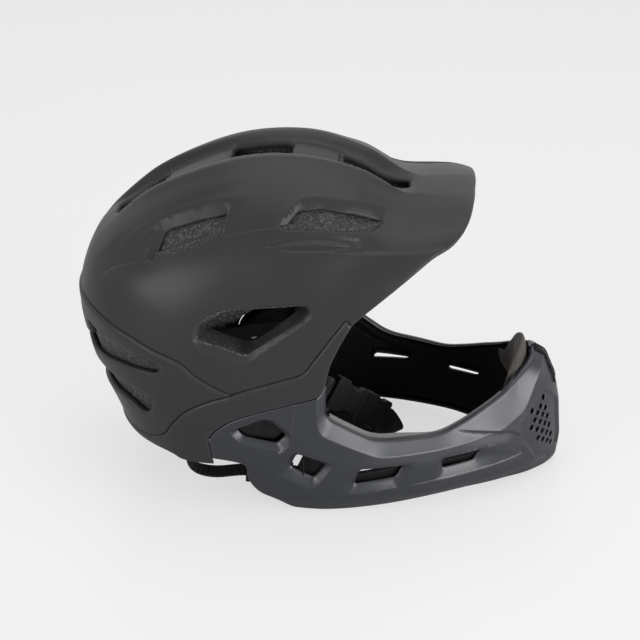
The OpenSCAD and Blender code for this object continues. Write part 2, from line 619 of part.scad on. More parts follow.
// The side plates close the guard's lugs on the inside and carry the tongues.
plate_outline = [[-65.5, 42], [-65.5, 52], [-59, 59.5], [-49, 66.5], [-29, 74.5], [-8, 80], [-5.5, 78],
    [-5.5, 40], [-20, 34], [-55, 36]];
module guard_plate(s) {
    color(black) difference() {
        union() {
            side_prism_at(plate_outline, s, plate_y, plate_t);
            translate([receiver_front - tongue_len, s > 0 ? plate_y : -plate_y - plate_t, tongue_z - tongue_h / 2])
                cube([tongue_len + 8, plate_t, tongue_h]);
        }
        translate([button_x, s * (plate_y - 1), button_z]) rotate([-s * 90, 0, 0])
            cylinder(h = plate_t + 2, r = stem_r + stem_fit, $fn = 48);
        for (p = screw_spots) translate([p.x, s * (plate_y - 1), p.y]) rotate([-s * 90, 0, 0])
            cylinder(h = plate_t + 2, r = screw_r + 0.1, $fn = 32);
    }
}
module side_prism_at(outline, s, from, thick) {
    translate([0, s * (from + thick / 2), 0]) rotate([90, 0, 0])
        linear_extrude(height = thick, center = true) polygon(outline);
}
module plate_screws() {
    color(steel) for (s = [-1, 1], p = screw_spots) translate([p.x, s * plate_y, p.y]) rotate([-s * 90, 0, 0]) {
        translate([0, 0, -screw_r]) cylinder(h = screw_r, r = 2 * screw_r, $fn = 32);
        cylinder(h = screw_len, r = screw_r - 0.05, $fn = 32);
    }
}

// Release buttons: a six-sided cap in the guard's window, on a stem that runs in the side plate.
cap_t = 4;
spring_solid = 3.3;
cap_face_y = plate_y + plate_t + spring_solid + button_travel + cap_t;
function shrink(outline, middle, k) = [for (p = outline) middle + (p - middle) * k];
module release_button(s) {
    color(black) union() {
        side_prism_at(shrink(button_window, [button_x, button_z], 0.9), s, cap_face_y - cap_t, cap_t);
        translate([button_x, s * plate_y, button_z]) rotate([-s * 90, 0, 0])
            cylinder(h = cap_face_y - cap_t / 2 - plate_y, r = stem_r, $fn = 48);
    }
}
module button_spring(s) {
    from = plate_y + plate_t;
    to = cap_face_y - cap_t;
    color(steel) translate([button_x, s * from, button_z]) rotate([-s * 90, 0, 0])
        rotate_extrude($fn = 32) translate([stem_r + 0.6, 0]) square([0.8, to - from]);
}

// Chin pad: a soft oval cushion across the inside of the guard's front. Its face to the wearer is
// crowned, a piping stands out round each of its two edges, and the band between them is drawn in.
chin_pad_half = 31;
chin_pad_high = 22;
chin_pad_z = 70;
// How far the pad's middle lies behind the guard's front, and how fast it falls back sideways.
chin_pad_set = 29.6;
chin_pad_bow = 0.011;
chin_pad_widths = [0, 5, 10, 15, 19, 23, 26, 28.5, 30.2, 31];
chin_pad_sides = 28;
module chin_pad() {
    widths = concat([for (i = [len(chin_pad_widths) - 1 : -1 : 1]) -chin_pad_widths[i]], chin_pad_widths);
    n = chin_pad_sides;
    rings = [for (w = widths) let (
        u = abs(w) / chin_pad_half,
        full = pow(max(0.01, 1 - pow(u, 2.6)), 0.5),
        x = guard_reach - chin_pad_set - chin_pad_bow * w * w,
        z = chin_pad_z - 6 * u * u
    ) [for (k = [0 : n - 1]) let (
        a = 360 * k / n,
        out = cos(a),
        rise = sin(a),
        piping = exp(-sq((abs(out) - 0.62) / 0.16)),
        drawn = exp(-sq(out / 0.3))
    ) [x + chin_pad_t / 2 * out * (0.3 + 0.7 * full), w, z + (chin_pad_high * full + 0.3) * rise * (1 + 0.03 * piping - 0.05 * drawn)]]];
    rows = len(rings);
    points = [for (r = rings) each r];
    faces = concat(
        [for (j = [0 : rows - 2], i = [0 : n - 1], h = [0, 1]) let (
            a = j * n + i, b = j * n + (i + 1) % n, c = a + n, d = b + n
        ) h == 0 ? [a, b, d] : [a, d, c]],
        [for (i = [1 : n - 2]) [0, i + 1, i]],
        [for (i = [1 : n - 2]) let (k = (rows - 1) * n) [k, k + i, k + i + 1]]);
    color(pad_brown) polyhedron(points, faces);
}

// Fit system at the nape: a dial with a pinion between two toothed belts.
dial_z = 38;
housing_x = -117;
housing_t = 6;
housing_w = 40;
cover_t = 1.6;
pitch_r = gear_module * pinion_teeth / 2;
tooth_in = 0.72 * gear_module;
tooth_root = 1.2 * gear_module;
belt_back = 3.1 * gear_module;
housing_h = 2 * (pitch_r + belt_back + 5);
gear_wall = 1.6;
gear_t = housing_t - 2.5;

module dial_housing() {
    color(black) difference() {
        translate([housing_x, -housing_w / 2, dial_z - housing_h / 2]) cube([housing_t, housing_w, housing_h]);
        translate([housing_x + gear_wall, 0, dial_z]) rotate([0, 90, 0])
            cylinder(h = housing_t, r = pitch_r + gear_module + 0.4, $fn = 48);
        for (s = [-1, 1]) translate([housing_x + gear_wall, 0, dial_z + s * (pitch_r + (belt_back - tooth_in) / 2)])
            translate([0, -housing_w, -(belt_back + tooth_in) / 2 - easy_gap])
                cube([housing_t, 2 * housing_w, belt_back + tooth_in + 2 * easy_gap]);
        translate([housing_x - 1, 0, dial_z]) rotate([0, 90, 0]) cylinder(h = 4, r = shaft_r + shaft_fit, $fn = 48);
    }
}
module dial_cover() {
    color(black) translate([housing_x + housing_t, -housing_w / 2, dial_z - housing_h / 2])
        cube([cover_t, housing_w, housing_h]);
}
knob_gap = 0.5;
grip_r = 2;
module dial_knob() {
    color(black) difference() {
        union() {
            translate([housing_x - knob_gap - dial_t, 0, dial_z]) rotate([0, 90, 0])
                cylinder(h = dial_t, r = dial_r, $fn = 64);
            translate([housing_x - knob_gap - 1, 0, dial_z]) rotate([0, 90, 0])
                cylinder(h = knob_gap + 1 + gear_wall + 0.4, r = shaft_r, $fn = 48);
        }
        for (a = [0 : 20 : 340])
            translate([housing_x - knob_gap - dial_t - 1, (dial_r + grip_r / 2) * sin(a), dial_z + (dial_r + grip_r / 2) * cos(a)])
                rotate([0, 90, 0]) cylinder(h = dial_t + 2, r = grip_r, $fn = 16);
    }
}

tooth_gap = 0.24;
// Outline of a gear: straight-sided teeth that narrow towards their tips.
function gear_outline(count) = let (pr = gear_module * count / 2, half = 90 / count - tooth_gap / pr * 28.6) [
    for (i = [0 : count - 1]) let (a = 360 * i / count) each [
        [pr - tooth_root, a - half * 1.35], [pr, a - half * 0.92], [pr + 0.8 * gear_module, a - half * 0.34],
        [pr + 0.8 * gear_module, a + half * 0.34], [pr, a + half * 0.92], [pr - tooth_root, a + half * 1.35],
    ]];
module dial_pinion() {
    color(steel) translate([housing_x + gear_wall + 0.4, 0, dial_z]) rotate([0, 90, 0])
        linear_extrude(height = gear_t) polygon([for (g = gear_outline(pinion_teeth)) g[0] * [cos(g[1]), sin(g[1])]]);
}

rack_pitch = PI * gear_module;
// A fit belt: a toothed bar through the housing, then a band round the side of the head.
function rack_outline(from, to) = let (first = ceil(from / rack_pitch - 0.5), last = floor(to / rack_pitch - 0.5)) concat(
    [[from, tooth_root]],
    [for (i = [first : last - 1]) let (c = (i + 0.5) * rack_pitch) each [
        [c - 0.92 * gear_module, tooth_root], [c - 0.25 * gear_module, -tooth_in],
        [c + 0.25 * gear_module, -tooth_in], [c + 0.92 * gear_module, tooth_root]]],
    [[to, tooth_root], [to, belt_back], [from, belt_back]]);
rack_end = 40;
band_angles = [for (a = [0 : 6 : 78]) a];
band_end_z = 62;
// How far the bands' ends lie in from the cavity's wall.
belt_in = 14.7;
belt_swing = cavity_half_w - belt_in - rack_end + 2;
module fit_belt(s) {
    up = -s;
    color(black) union() {
        translate([housing_x + gear_wall + 0.4, 0, dial_z]) rotate([90, 0, 90]) linear_extrude(height = gear_t)
            polygon([for (p = rack_outline(-belt_travel - 4, rack_end)) [s * p.x, up * (pitch_r + p.y)]]);
        belt_band(s, up);
    }
}
module belt_band(s, up) {
    start_z = dial_z + up * (pitch_r + (tooth_root + belt_back) / 2);
    start_h = belt_back - tooth_root - 0.2;
    band = [for (a = band_angles) [
        housing_x + gear_wall + 0.4 + gear_t / 2 + 58 * sq(sin(a * 0.9)) + 34 * ease((a - 30) / 48),
        s * (rack_end - 2 + belt_swing * sin(a * 1.15)),
        start_z + (band_end_z - start_z) * ease(a / 70),
        start_h + (belt_w - start_h) * ease(a / 26)]];
    band_sweep(band, belt_t);
}
// A flat band through [x, y, z, height] stations, upright, with its thickness across its run.
module band_sweep(band, thick) {
    n = len(band);
    rings = [for (i = [0 : n - 1]) let (
        a = band[max(i - 1, 0)], b = band[min(i + 1, n - 1)], u = [b.x - a.x, b.y - a.y] / norm([b.x - a.x, b.y - a.y]),
        m = [u.y, -u.x] * thick / 2, c = band[i], h = c[3] / 2
    ) [[c.x + m.x, c.y + m.y, c.z - h], [c.x - m.x, c.y - m.y, c.z - h],
        [c.x - m.x, c.y - m.y, c.z + h], [c.x + m.x, c.y + m.y, c.z + h]]];
    bar(rings);
}
// A closed bar through four-cornered rings.
module bar(rings) {
    n = len(rings);
    points = [for (r = rings) each r];
    end = (n - 1) * 4;
    faces = concat([[0, 1, 2], [0, 2, 3], [end, end + 2, end + 1], [end, end + 3, end + 2]],
        [for (j = [0 : n - 2], i = [0 : 3], h = [0, 1]) let (
            a = j * 4 + i, b = j * 4 + (i + 1) % 4, c = a + 4, d = b + 4
        ) h == 0 ? [a, d, b] : [a, c, d]]);
    polyhedron(points, faces);
}

// The cradle: a plate behind the dial's housing and two arms up to pins in the foam.
cradle_t = 2;
cradle_x = housing_x + housing_t + cover_t;
pin_r = 2;
pin_y = 26;
pin_z = 89;
cradle_seat_x = cavity_x - wall_x(pin_y + 5, pin_z) + 0.6;
pin_tip_x = cradle_seat_x - 9;
module fit_cradle() {
    color(black) difference() {
        union() {
            for (s = [-1, 1]) hull() {
                translate([cradle_x, s * 12 - 4, dial_z + housing_h / 2 + 1]) cube([cradle_t, 8, 6]);
                translate([cradle_seat_x, s * pin_y - 5, pin_z - 5]) cube([cradle_t, 10, 10]);
            }
            translate([cradle_x, -16, dial_z - housing_h / 2]) cube([cradle_t, 32, housing_h + 7]);
        }
        for (s = [-1, 1]) translate([cradle_seat_x - 1, s * pin_y, pin_z]) rotate([0, 90, 0])
            cylinder(h = cradle_t + 2, r = pin_r + 0.05, $fn = 32);
        for (s = [-1, 1]) translate([cradle_seat_x + cradle_t, s * pin_y, pin_z]) rotate([0, 90, 0])
            cylinder(h = 20, r = 2 * pin_r + 0.3, $fn = 32);
    }
}
module cradle_pins() {
    color(black) for (s = [-1, 1]) translate([0, s * pin_y, pin_z]) {
        translate([pin_tip_x, 0, 0]) rotate([0, 90, 0])
            cylinder(h = cradle_seat_x + cradle_t - pin_tip_x, r = pin_r, $fn = 32);
        translate([cradle_seat_x + cradle_t, 0, 0]) rotate([0, 90, 0]) cylinder(h = 1.4, r = 2 * pin_r, $fn = 32);
    }
}
module nape_pad() {
    color(black) pad(function (p, q, d) [cradle_x + cradle_t + d - pad_gap + easy_gap, p, dial_z + q], [15, 13], 5, true);
}

// Straps. Each stop is [x, y, z] with the direction of the webbing's width. A frame along a strap is
// its point, its run, its width and its face, as unit vectors.
function strap_curve(stops, k) = open_curve([for (p = stops) p[k]], 3);
function strap_frame(path, wide, i) = let (
    run = path[min(i + 1, len(path) - 1)] - path[max(i - 1, 0)],
    t = run / norm(run),
    w = wide[i] - t * (wide[i] * t)
) [path[i], t, w / norm(w), cross(t, w / norm(w))];
module strap(stops, s) {
    path = strap_curve(stops, 0);
    wide = strap_curve(stops, 1);
    rings = [for (i = [0 : len(path) - 1]) let (
        f = strap_frame(path, wide, i), w = f[2] * strap_w / 2, m = f[3] * strap_t / 2
    ) [for (q = [f[0] - w - m, f[0] + w - m, f[0] + w + m, f[0] - w + m]) [q.x, -s * q.y, q.z]]];
    color(black) bar([for (r = rings) s < 0 ? r : backwards(r)]);
}

// Anchors of the straps, flush in the cavity wall, as [x, z].
anchor_spots = [[-2, 100], [-100, 68]];
anchor_r = 6;
anchor_t = 2;
anchor_proud = 0.4;
function wall_slope(a) = wall_y(a.x + 1, a.y) / 2 - wall_y(a.x - 1, a.y) / 2;
// Places things with Z into the cavity and Z = 0 at the back of an anchor.
module at_wall(s, a) {
    translate([a.x, s * wall_y(a.x, a.y), a.y]) rotate([s * 90, 0, s * atan(wall_slope(a))])
        translate([0, 0, anchor_proud - anchor_t]) children();
}
function along_wall(a, down) = [1, -wall_slope(a), down];
function by_anchor(a) = let (m = wall_slope(a), d = (anchor_proud + easy_gap + strap_t / 2) / norm([m, 1]))
    [a.x + m * d, d - wall_y(a.x, a.y), a.y];
module strap_anchors() {
    color(black) for (s = [-1, 1], a = anchor_spots) at_wall(s, a) cylinder(h = anchor_t, r = anchor_r, $fn = 48);
}

// The divider lies flat under the ear: rear and chin straps enter its ends, the front strap its top.
divider_in = 35;
divider_at = [-29, divider_in - shell_half_w, 13.2];
divider_len = 2 * strap_w;
divider_w = 22;
divider_t = 4.5;
slot_deep = 8;
slot_fit = 0.4;
ends_y = divider_at.y + 2.2;
top_y = divider_at.y - 7.9;
module strap_divider(s) {
    w = strap_w + 2 * slot_fit;
    t = strap_t + 2 * slot_fit;
    color(black) mirror([0, s > 0 ? 1 : 0, 0]) difference() {
        translate(divider_at - [divider_len, divider_w, divider_t] / 2) cube([divider_len, divider_w, divider_t]);
        for (e = [-1, 1]) translate([divider_at.x + e * (divider_len - slot_deep) / 2, ends_y, divider_at.z])
            translate([e > 0 ? -slot_deep / 2 : -slot_deep / 2 - 1, -w / 2, -t / 2]) cube([slot_deep + 1, w, t]);
        translate([divider_at.x - w / 2, top_y - t / 2, divider_at.z - 0.8]) cube([w, t, divider_t]);
    }
}
into_slot = divider_len / 2 - slot_deep + 1;

// The buckle hangs inside the guard, its length running down and forwards.
buckle_at = [9, -20, 55];
buckle_turn = [81, 36, 28];
function about_x(v, a) = [v.x, v.y * cos(a) - v.z * sin(a), v.y * sin(a) + v.z * cos(a)];
function about_y(v, a) = [v.x * cos(a) + v.z * sin(a), v.y, v.z * cos(a) - v.x * sin(a)];
function about_z(v, a) = [v.x * cos(a) - v.y * sin(a), v.x * sin(a) + v.y * cos(a), v.z];
function turned(v) = about_z(about_y(about_x(v, buckle_turn.x), buckle_turn.y), buckle_turn.z);
function in_buckle(along) = [buckle_at + turned([along, 0, 0]), turned([0, 1, 0])];
socket_len = 27;
plug_len = 22;
pocket_len = 6;
buckle_end = socket_len + easy_gap + plug_len;

// A point on the right, a distance in from the cavity's wall, and one part way from divider to buckle.
function off_wall(x, z, in) = [x, in - wall_y(x, z), z];
function to_buckle(x, k, z) = [x, divider_at.y + (buckle_at.y - divider_at.y) * k, z];
front_strap_path = [
    [by_anchor(anchor_spots[0]), along_wall(anchor_spots[0], -0.4)], [off_wall(-8.5, 87, 1.8), [1, 0.22, -0.4]],
    [off_wall(-17, 70, 3.6), [1, 0.1, -0.35]],
    [off_wall(-23, 50, 4.1), [1, 0, -0.2]], [off_wall(-28, 30, 2.8), [1, 0, -0.1]],
    [[divider_at.x, top_y, divider_at.z + 3], [1, 0, 0]], [[divider_at.x, top_y, divider_at.z], [1, 0, 0]],
];
rear_strap_path = [
    [by_anchor(anchor_spots[1]), along_wall(anchor_spots[1], 0.2)], [off_wall(-96.5, 53, 3.6), [0.8, -0.58, 0.1]],
    [off_wall(-91.5, 37, 4.7), [0.76, -0.62, 0.1]], [off_wall(-86.5, 23, 3.9), [0.42, -0.9, 0.1]],
    [[-79, divider_at.y - 1, 15.5], [0.12, -1, 0.05]], [[-66, divider_at.y - 1.5, 12.8], [0, -1, 0]],
    [[divider_at.x - divider_len / 2 - 5, ends_y - 0.6, divider_at.z], [0, -1, 0]],
    [[divider_at.x - into_slot, ends_y, divider_at.z], [0, -1, 0]],
];
right_chin_path = [
    [[divider_at.x + into_slot, ends_y, divider_at.z], [0, 1, 0]],
    [[divider_at.x + divider_len / 2 + 1, ends_y, divider_at.z], [0, 1, 0]],
    [[divider_at.x + divider_len / 2 + 4, ends_y, divider_at.z], [0, 1, 0]],
    [to_buckle(-4, 0.167, 21), [-0.1, 0.9, 0.3]], [to_buckle(-1.5, 0.357, 32), [0, 0.8, 0.6]],
    [to_buckle(-2.5, 0.571, 44), [0.15, 0.6, 0.75]], [to_buckle(-1.5, 0.762, 53.5), [0.3, 0.5, 0.8]], in_buckle(-6), in_buckle(0), in_buckle(pocket_len - 1),
];
left_chin_path = [
    in_buckle(buckle_end - pocket_len + 1), in_buckle(buckle_end), in_buckle(buckle_end + 4), [[51, 6, 14], [0.6, 0.6, 0.5]],
    [[50, 14, 6], [0.85, 0.45, 0.2]], [[41, 23, 3], [0.7, 0.7, 0]], [[24, 35, 2.6], [0.5, 0.85, 0]],
    [[6, 46, 3.2], [0.4, 0.9, 0]], [[-4, -divider_at.y - 8.5, 8], [0.2, 0.95, 0]],
    [[divider_at.x + divider_len / 2 + 4, -ends_y, divider_at.z], [0, 1, 0]],
    [[divider_at.x + divider_len / 2 + 1, -ends_y, divider_at.z], [0, 1, 0]],
    [[divider_at.x + into_slot, -ends_y, divider_at.z], [0, 1, 0]],
];

module strap_pocket(from, to) {
    translate([from, -strap_w / 2 - slot_fit, -strap_t / 2 - slot_fit])
        cube([to - from, strap_w + 2 * slot_fit, strap_t + 2 * slot_fit]);
}
prong_w = 3;
prong_t = 3.6;
module buckle_socket() {
    room = prong_t + 0.8;
    color(black) translate(buckle_at) rotate(buckle_turn) difference() {
        translate([0, -buckle_w / 2, -buckle_t / 2]) cube([socket_len, buckle_w, buckle_t]);
        translate([pocket_len + 3, -buckle_w / 2 + 2, -room / 2]) cube([socket_len, buckle_w - 4, room]);
        for (s = [-1, 1]) translate([12, s * buckle_w / 2 - 3, -buckle_t]) cube([10, 6, 2 * buckle_t]);
        strap_pocket(-1, pocket_len);
    }
}
module buckle_plug() {
    color(black) translate(buckle_at) rotate(buckle_turn) {
        difference() {
            translate([socket_len + easy_gap, -buckle_w / 2, -buckle_t / 2]) cube([plug_len, buckle_w, buckle_t]);
            strap_pocket(buckle_end - pocket_len, buckle_end + 1);
        }
        for (y = [-1, 0, 1] * (buckle_w / 2 - 2.4 - prong_w / 2)) translate([11, y - prong_w / 2, -prong_t / 2])
            cube([socket_len - 11 + easy_gap + 0.5, prong_w, prong_t]);
    }
}
// A loop that keeps the tail of the right chin strap, round the strap between two of its stops.
keeper_stop = 10;
module strap_keeper() {
    path = strap_curve(right_chin_path, 0);
    f = strap_frame(path, strap_curve(right_chin_path, 1), keeper_stop);
    color(black) multmatrix([
        [f[1].x, f[2].x, f[3].x, f[0].x], [f[1].y, f[2].y, f[3].y, f[0].y],
        [f[1].z, f[2].z, f[3].z, f[0].z], [0, 0, 0, 1],
    ]) difference() {
        cube([3, strap_w + 4, strap_t + 4.4], center = true);
        cube([5, strap_w + 1, strap_t + 1.4], center = true);
    }
}

upper_shell();
rear_shell();
lower_shell(-1);  // lower_shell_right
lower_shell(1);  // lower_shell_left
foam_core();
brow_pad();
crown_pad();
temple_pad(-1);  // temple_pad_right
temple_pad(1);  // temple_pad_left
cheek_pad(-1);  // cheek_pad_right
cheek_pad(1);  // cheek_pad_left
guard_receiver(-1);  // guard_receiver_right
guard_receiver(1);  // guard_receiver_left
chin_guard();
guard_lining();
chin_pad();
guard_plate(-1);  // guard_plate_right
guard_plate(1);  // guard_plate_left
plate_screws();
release_button(-1);  // release_button_right
release_button(1);  // release_button_left
button_spring(-1);  // button_spring_right
button_spring(1);  // button_spring_left
fit_cradle();
cradle_pins();
dial_housing();
dial_cover();
dial_knob();
dial_pinion();
fit_belt(-1);  // fit_belt_right
fit_belt(1);  // fit_belt_left
nape_pad();
strap(front_strap_path, -1);  // front_strap_right
strap(front_strap_path, 1);  // front_strap_left
strap(rear_strap_path, -1);  // rear_strap_right
strap(rear_strap_path, 1);  // rear_strap_left
strap_anchors();
strap_divider(-1);  // strap_divider_right
strap_divider(1);  // strap_divider_left
strap(right_chin_path, -1);  // chin_strap_right
strap(left_chin_path, -1);  // chin_strap_left
strap_keeper();
buckle_socket();
buckle_plug();
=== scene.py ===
import json
import math
import bmesh
import bpy
import numpy as np
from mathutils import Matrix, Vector
from mathutils.geometry import delaunay_2d_cdt


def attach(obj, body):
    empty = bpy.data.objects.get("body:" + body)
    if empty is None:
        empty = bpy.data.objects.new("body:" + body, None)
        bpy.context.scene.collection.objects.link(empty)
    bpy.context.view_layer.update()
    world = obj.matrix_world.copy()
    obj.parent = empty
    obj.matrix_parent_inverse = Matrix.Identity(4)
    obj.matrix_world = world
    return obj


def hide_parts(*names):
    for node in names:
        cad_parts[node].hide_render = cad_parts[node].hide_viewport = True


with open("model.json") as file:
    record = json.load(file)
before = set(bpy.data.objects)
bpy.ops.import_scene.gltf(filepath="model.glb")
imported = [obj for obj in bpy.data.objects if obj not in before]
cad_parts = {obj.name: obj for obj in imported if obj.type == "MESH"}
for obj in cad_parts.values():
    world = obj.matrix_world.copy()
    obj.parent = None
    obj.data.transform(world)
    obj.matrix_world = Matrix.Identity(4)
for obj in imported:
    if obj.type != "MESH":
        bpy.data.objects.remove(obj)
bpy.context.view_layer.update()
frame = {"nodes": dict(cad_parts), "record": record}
mm = 0.001

# Curves, outlines and distances. Lengths in these shapes are millimetres, as on a drawing.


def ease(v):
    # 3v^2 - 2v^3, held at 0 below 0 and at 1 above 1
    u = np.clip(v, 0, 1)
    return u * u * (3 - 2 * u)


def smoothLine(points, steps=10, closed=False):
    # Catmull-Rom curve through the points
    p = np.asarray(points, float)
    n = len(p)
    i = np.arange(n if closed else n - 1)
    if closed:
        a, b, c, d = p[(i - 1) % n], p[i], p[(i + 1) % n], p[(i + 2) % n]
    else:
        a, b, c, d = p[np.maximum(i - 1, 0)], p[i], p[i + 1], p[np.minimum(i + 2, n - 1)]
    a, b, c, d = (v[:, None, :] for v in (a, b, c, d))
    t = np.linspace(0, 1, steps, endpoint=False)[None, :, None]
    q = (2 * b + (c - a) * t + (2 * a - 5 * b + 4 * c - d) * t**2 + (3 * b - a - 3 * c + d) * t**3) / 2
    q = q.reshape(-1, p.shape[1])
    return q if closed else np.vstack([q, p[-1:]])


def evenly(line, gap, closed=False):
    # the same line with points an equal distance apart
    p = np.asarray(line, float)
    if closed:
        p = np.vstack([p, p[:1]])
    run = np.concatenate([[0], np.cumsum(np.linalg.norm(np.diff(p, axis=0), axis=1))])
    count = max(2, int(round(run[-1] / gap)) + 1)
    at = np.linspace(0, run[-1], count)
    q = np.stack([np.interp(at, run, p[:, k]) for k in range(p.shape[1])], axis=1)
    return q[:-1] if closed else q


def roundCorners(points, radius, closed=True, steps=5):
    # each corner becomes a quadratic curve that starts and ends the radius away from it
    p = np.asarray(points, float)
    n = len(p)
    out = [] if closed else [p[0]]
    for i in (range(n) if closed else range(1, n - 1)):
        a, b, c = p[i - 1], p[i], p[(i + 1) % n]
        r1 = min(radius, 0.45 * np.linalg.norm(a - b))
        r2 = min(radius, 0.45 * np.linalg.norm(c - b))
        s = b + (a - b) / np.linalg.norm(a - b) * r1
        e = b + (c - b) / np.linalg.norm(c - b) * r2
        t = np.linspace(0, 1, steps)[:, None]
        out.extend((1 - t) ** 2 * s + 2 * t * (1 - t) * b + t**2 * e)
    if not closed:
        out.append(p[-1])
    return np.array(out)


def shifted(line, d, closed=False):
    # the line moved sideways by d, to the left of its run
    p = np.asarray(line, float)
    if closed:
        u = np.roll(p, -1, 0) - np.roll(p, 1, 0)
    else:
        u = np.gradient(p, axis=0)
    u /= np.linalg.norm(u, axis=1, keepdims=True) + 1e-12
    return p + d * np.stack([-u[:, 1], u[:, 0]], axis=1)


def turning(line):
    # twice the area of a closed outline, positive when it runs anticlockwise
    q = np.roll(line, -1, 0)
    return float(np.sum(line[:, 0] * q[:, 1] - q[:, 0] * line[:, 1]))


def grown(outline, d):
    # a closed outline moved outwards by d
    return shifted(outline, -d if turning(outline) > 0 else d, True)


def inside(points, outline):
    # even-odd rule, one edge of the outline at a time
    x, y = points[:, 0], points[:, 1]
    hit = np.zeros(len(points), bool)
    a = np.asarray(outline, float)
    for (x0, y0), (x1, y1) in zip(a, np.roll(a, -1, 0)):
        if y0 != y1:
            hit ^= ((y0 > y) != (y1 > y)) & (x < (x1 - x0) * (y - y0) / (y1 - y0) + x0)
    return hit


def distanceTo(points, line, closed=False):
    # least distance from each point to the line's straight pieces
    p = np.asarray(line, float)
    a, b = (p, np.roll(p, -1, 0)) if closed else (p[:-1], p[1:])
    best = np.full(len(points), 1e9)
    for s, e in zip(a, b):
        u = e - s
        k = np.clip((points - s) @ u / max(u @ u, 1e-12), 0, 1)
        best = np.minimum(best, np.sum((points - s - k[:, None] * u) ** 2, axis=1))
    return np.sqrt(best)


def roundedEdge(distance, radius):
    # a quarter circle's fall: 1 at the edge, 0 from the radius on
    return 1 - np.sqrt(np.clip(1 - (1 - np.clip(distance / radius, 0, 1)) ** 2, 0, 1))


# Meshes and their finish.

bodyOf = {n: b for b, ns in frame["record"]["behaviour"]["bodies"].items() for n in ns}


def editMesh(mesh, change):
    bm = bmesh.new()
    bm.from_mesh(mesh)
    change(bm)
    bm.to_mesh(mesh)
    bm.free()


def markSharp(bm, angle):
    for edge in bm.edges:
        if len(edge.link_faces) == 2:
            edge.smooth = edge.calc_face_angle(0) < math.radians(angle)


def makePiece(name, verts, faces, material, body, closed=False, sharpAngle=None):
    # a closed piece has all its faces turned outwards
    mesh = bpy.data.meshes.new(name)
    mesh.from_pydata((np.asarray(verts) * mm).tolist(), [], [list(map(int, f)) for f in faces])
    mesh.update()
    mesh.polygons.foreach_set("use_smooth", [True] * len(mesh.polygons))
    obj = bpy.data.objects.new(name, mesh)
    bpy.context.scene.collection.objects.link(obj)
    mesh.materials.append(material)
    if closed:
        editMesh(mesh, lambda bm: bmesh.ops.recalc_face_normals(bm, faces=bm.faces))
    if sharpAngle:
        editMesh(mesh, lambda bm: markSharp(bm, sharpAngle))
    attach(obj, body)
    return obj


def standFor(obj, node):
    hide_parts(node)


def addWall(obj, thickness):
    wall = obj.modifiers.new("wall", "SOLIDIFY")
    wall.thickness = thickness * mm
    wall.offset = -1
    wall.use_even_offset = False


def gridFaces(rows, columns, closed=False):
    # quads over a grid of points, whose columns may close into rings
    i, j = (v.ravel() for v in np.meshgrid(
        np.arange(rows - 1), np.arange(columns if closed else columns - 1), indexing="ij"))
    i2, j2 = i + 1, (j + 1) % columns
    return np.stack([i * columns + j, i2 * columns + j, i2 * columns + j2, i * columns + j2], axis=1)


def tubeFaces(rings, columns):
    # the sides of a tube of closed rings, and its two end caps
    sides = [tuple(f) for f in gridFaces(rings, columns, True)]
    return sides + [tuple(range(columns)), tuple(range((rings - 1) * columns, rings * columns))[::-1]]


def onlyUsed(verts, faces):
    # without the points that no face uses
    used = np.unique(faces)
    number = np.full(len(verts), -1)
    number[used] = np.arange(len(used))
    return verts[used], number[faces]


def bevelledCopy(node, material, width, angle=32, planar=True):
    # a clean, edge-rounded copy of a moulded CAD node
    mesh = frame["nodes"][node].data.copy()

    def clean(bm):
        bmesh.ops.remove_doubles(bm, verts=bm.verts, dist=2e-6)
        if planar:
            bmesh.ops.dissolve_limit(bm, angle_limit=math.radians(1), verts=bm.verts, edges=bm.edges)
        for face in bm.faces:
            face.smooth = True
        markSharp(bm, angle)

    editMesh(mesh, clean)
    obj = bpy.data.objects.new(node + "_moulded", mesh)
    bpy.context.scene.collection.objects.link(obj)
    mesh.materials.clear()
    mesh.materials.append(material)
    if width:
        bevel = obj.modifiers.new("edges", "BEVEL")
        bevel.width = width * mm
        bevel.segments = 2
        bevel.limit_method = "ANGLE"
        bevel.angle_limit = math.radians(angle)
        bevel.harden_normals = True
    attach(obj, bodyOf[node])
    standFor(obj, node)


# Materials. Groups give a value, colour or normal only; each shader stays in its own material.


def newGroup(name, ins, outs):
    tree = bpy.data.node_groups.new(name, "ShaderNodeTree")
    for label, kind, default in ins:
        socket = tree.interface.new_socket(name=label, in_out="INPUT", socket_type=kind)
        if default is not None:
            socket.default_value = default
    for label, kind in outs:
        tree.interface.new_socket(name=label, in_out="OUTPUT", socket_type=kind)
    start = tree.nodes.new("NodeGroupInput")
    end = tree.nodes.new("NodeGroupOutput")
    return tree, start, end


def addNode(tree, kind, **values):
    node = tree.nodes.new(kind)
    for key, value in values.items():
        if key in node.inputs:
            node.inputs[key].default_value = value
        else:
            setattr(node, key, value)
    return node


def addTint(tree, shader, look, share):
    # base colour between the look's colour and its light tone
    tint = addNode(tree, "ShaderNodeMix", data_type="RGBA")
    tint.inputs["A"].default_value = (*look["colour"], 1)
    tint.inputs["B"].default_value = (*look["light"], 1)
    tree.links.new(share, tint.inputs["Factor"])
    tree.links.new(tint.outputs["Result"], shader.inputs["Base Color"])


def addBump(tree, shader, height, strength, distance):
    bump = addNode(tree, "ShaderNodeBump", Strength=strength, Distance=distance)
    tree.links.new(height, bump.inputs["Height"])
    tree.links.new(bump.outputs["Normal"], shader.inputs["Normal"])


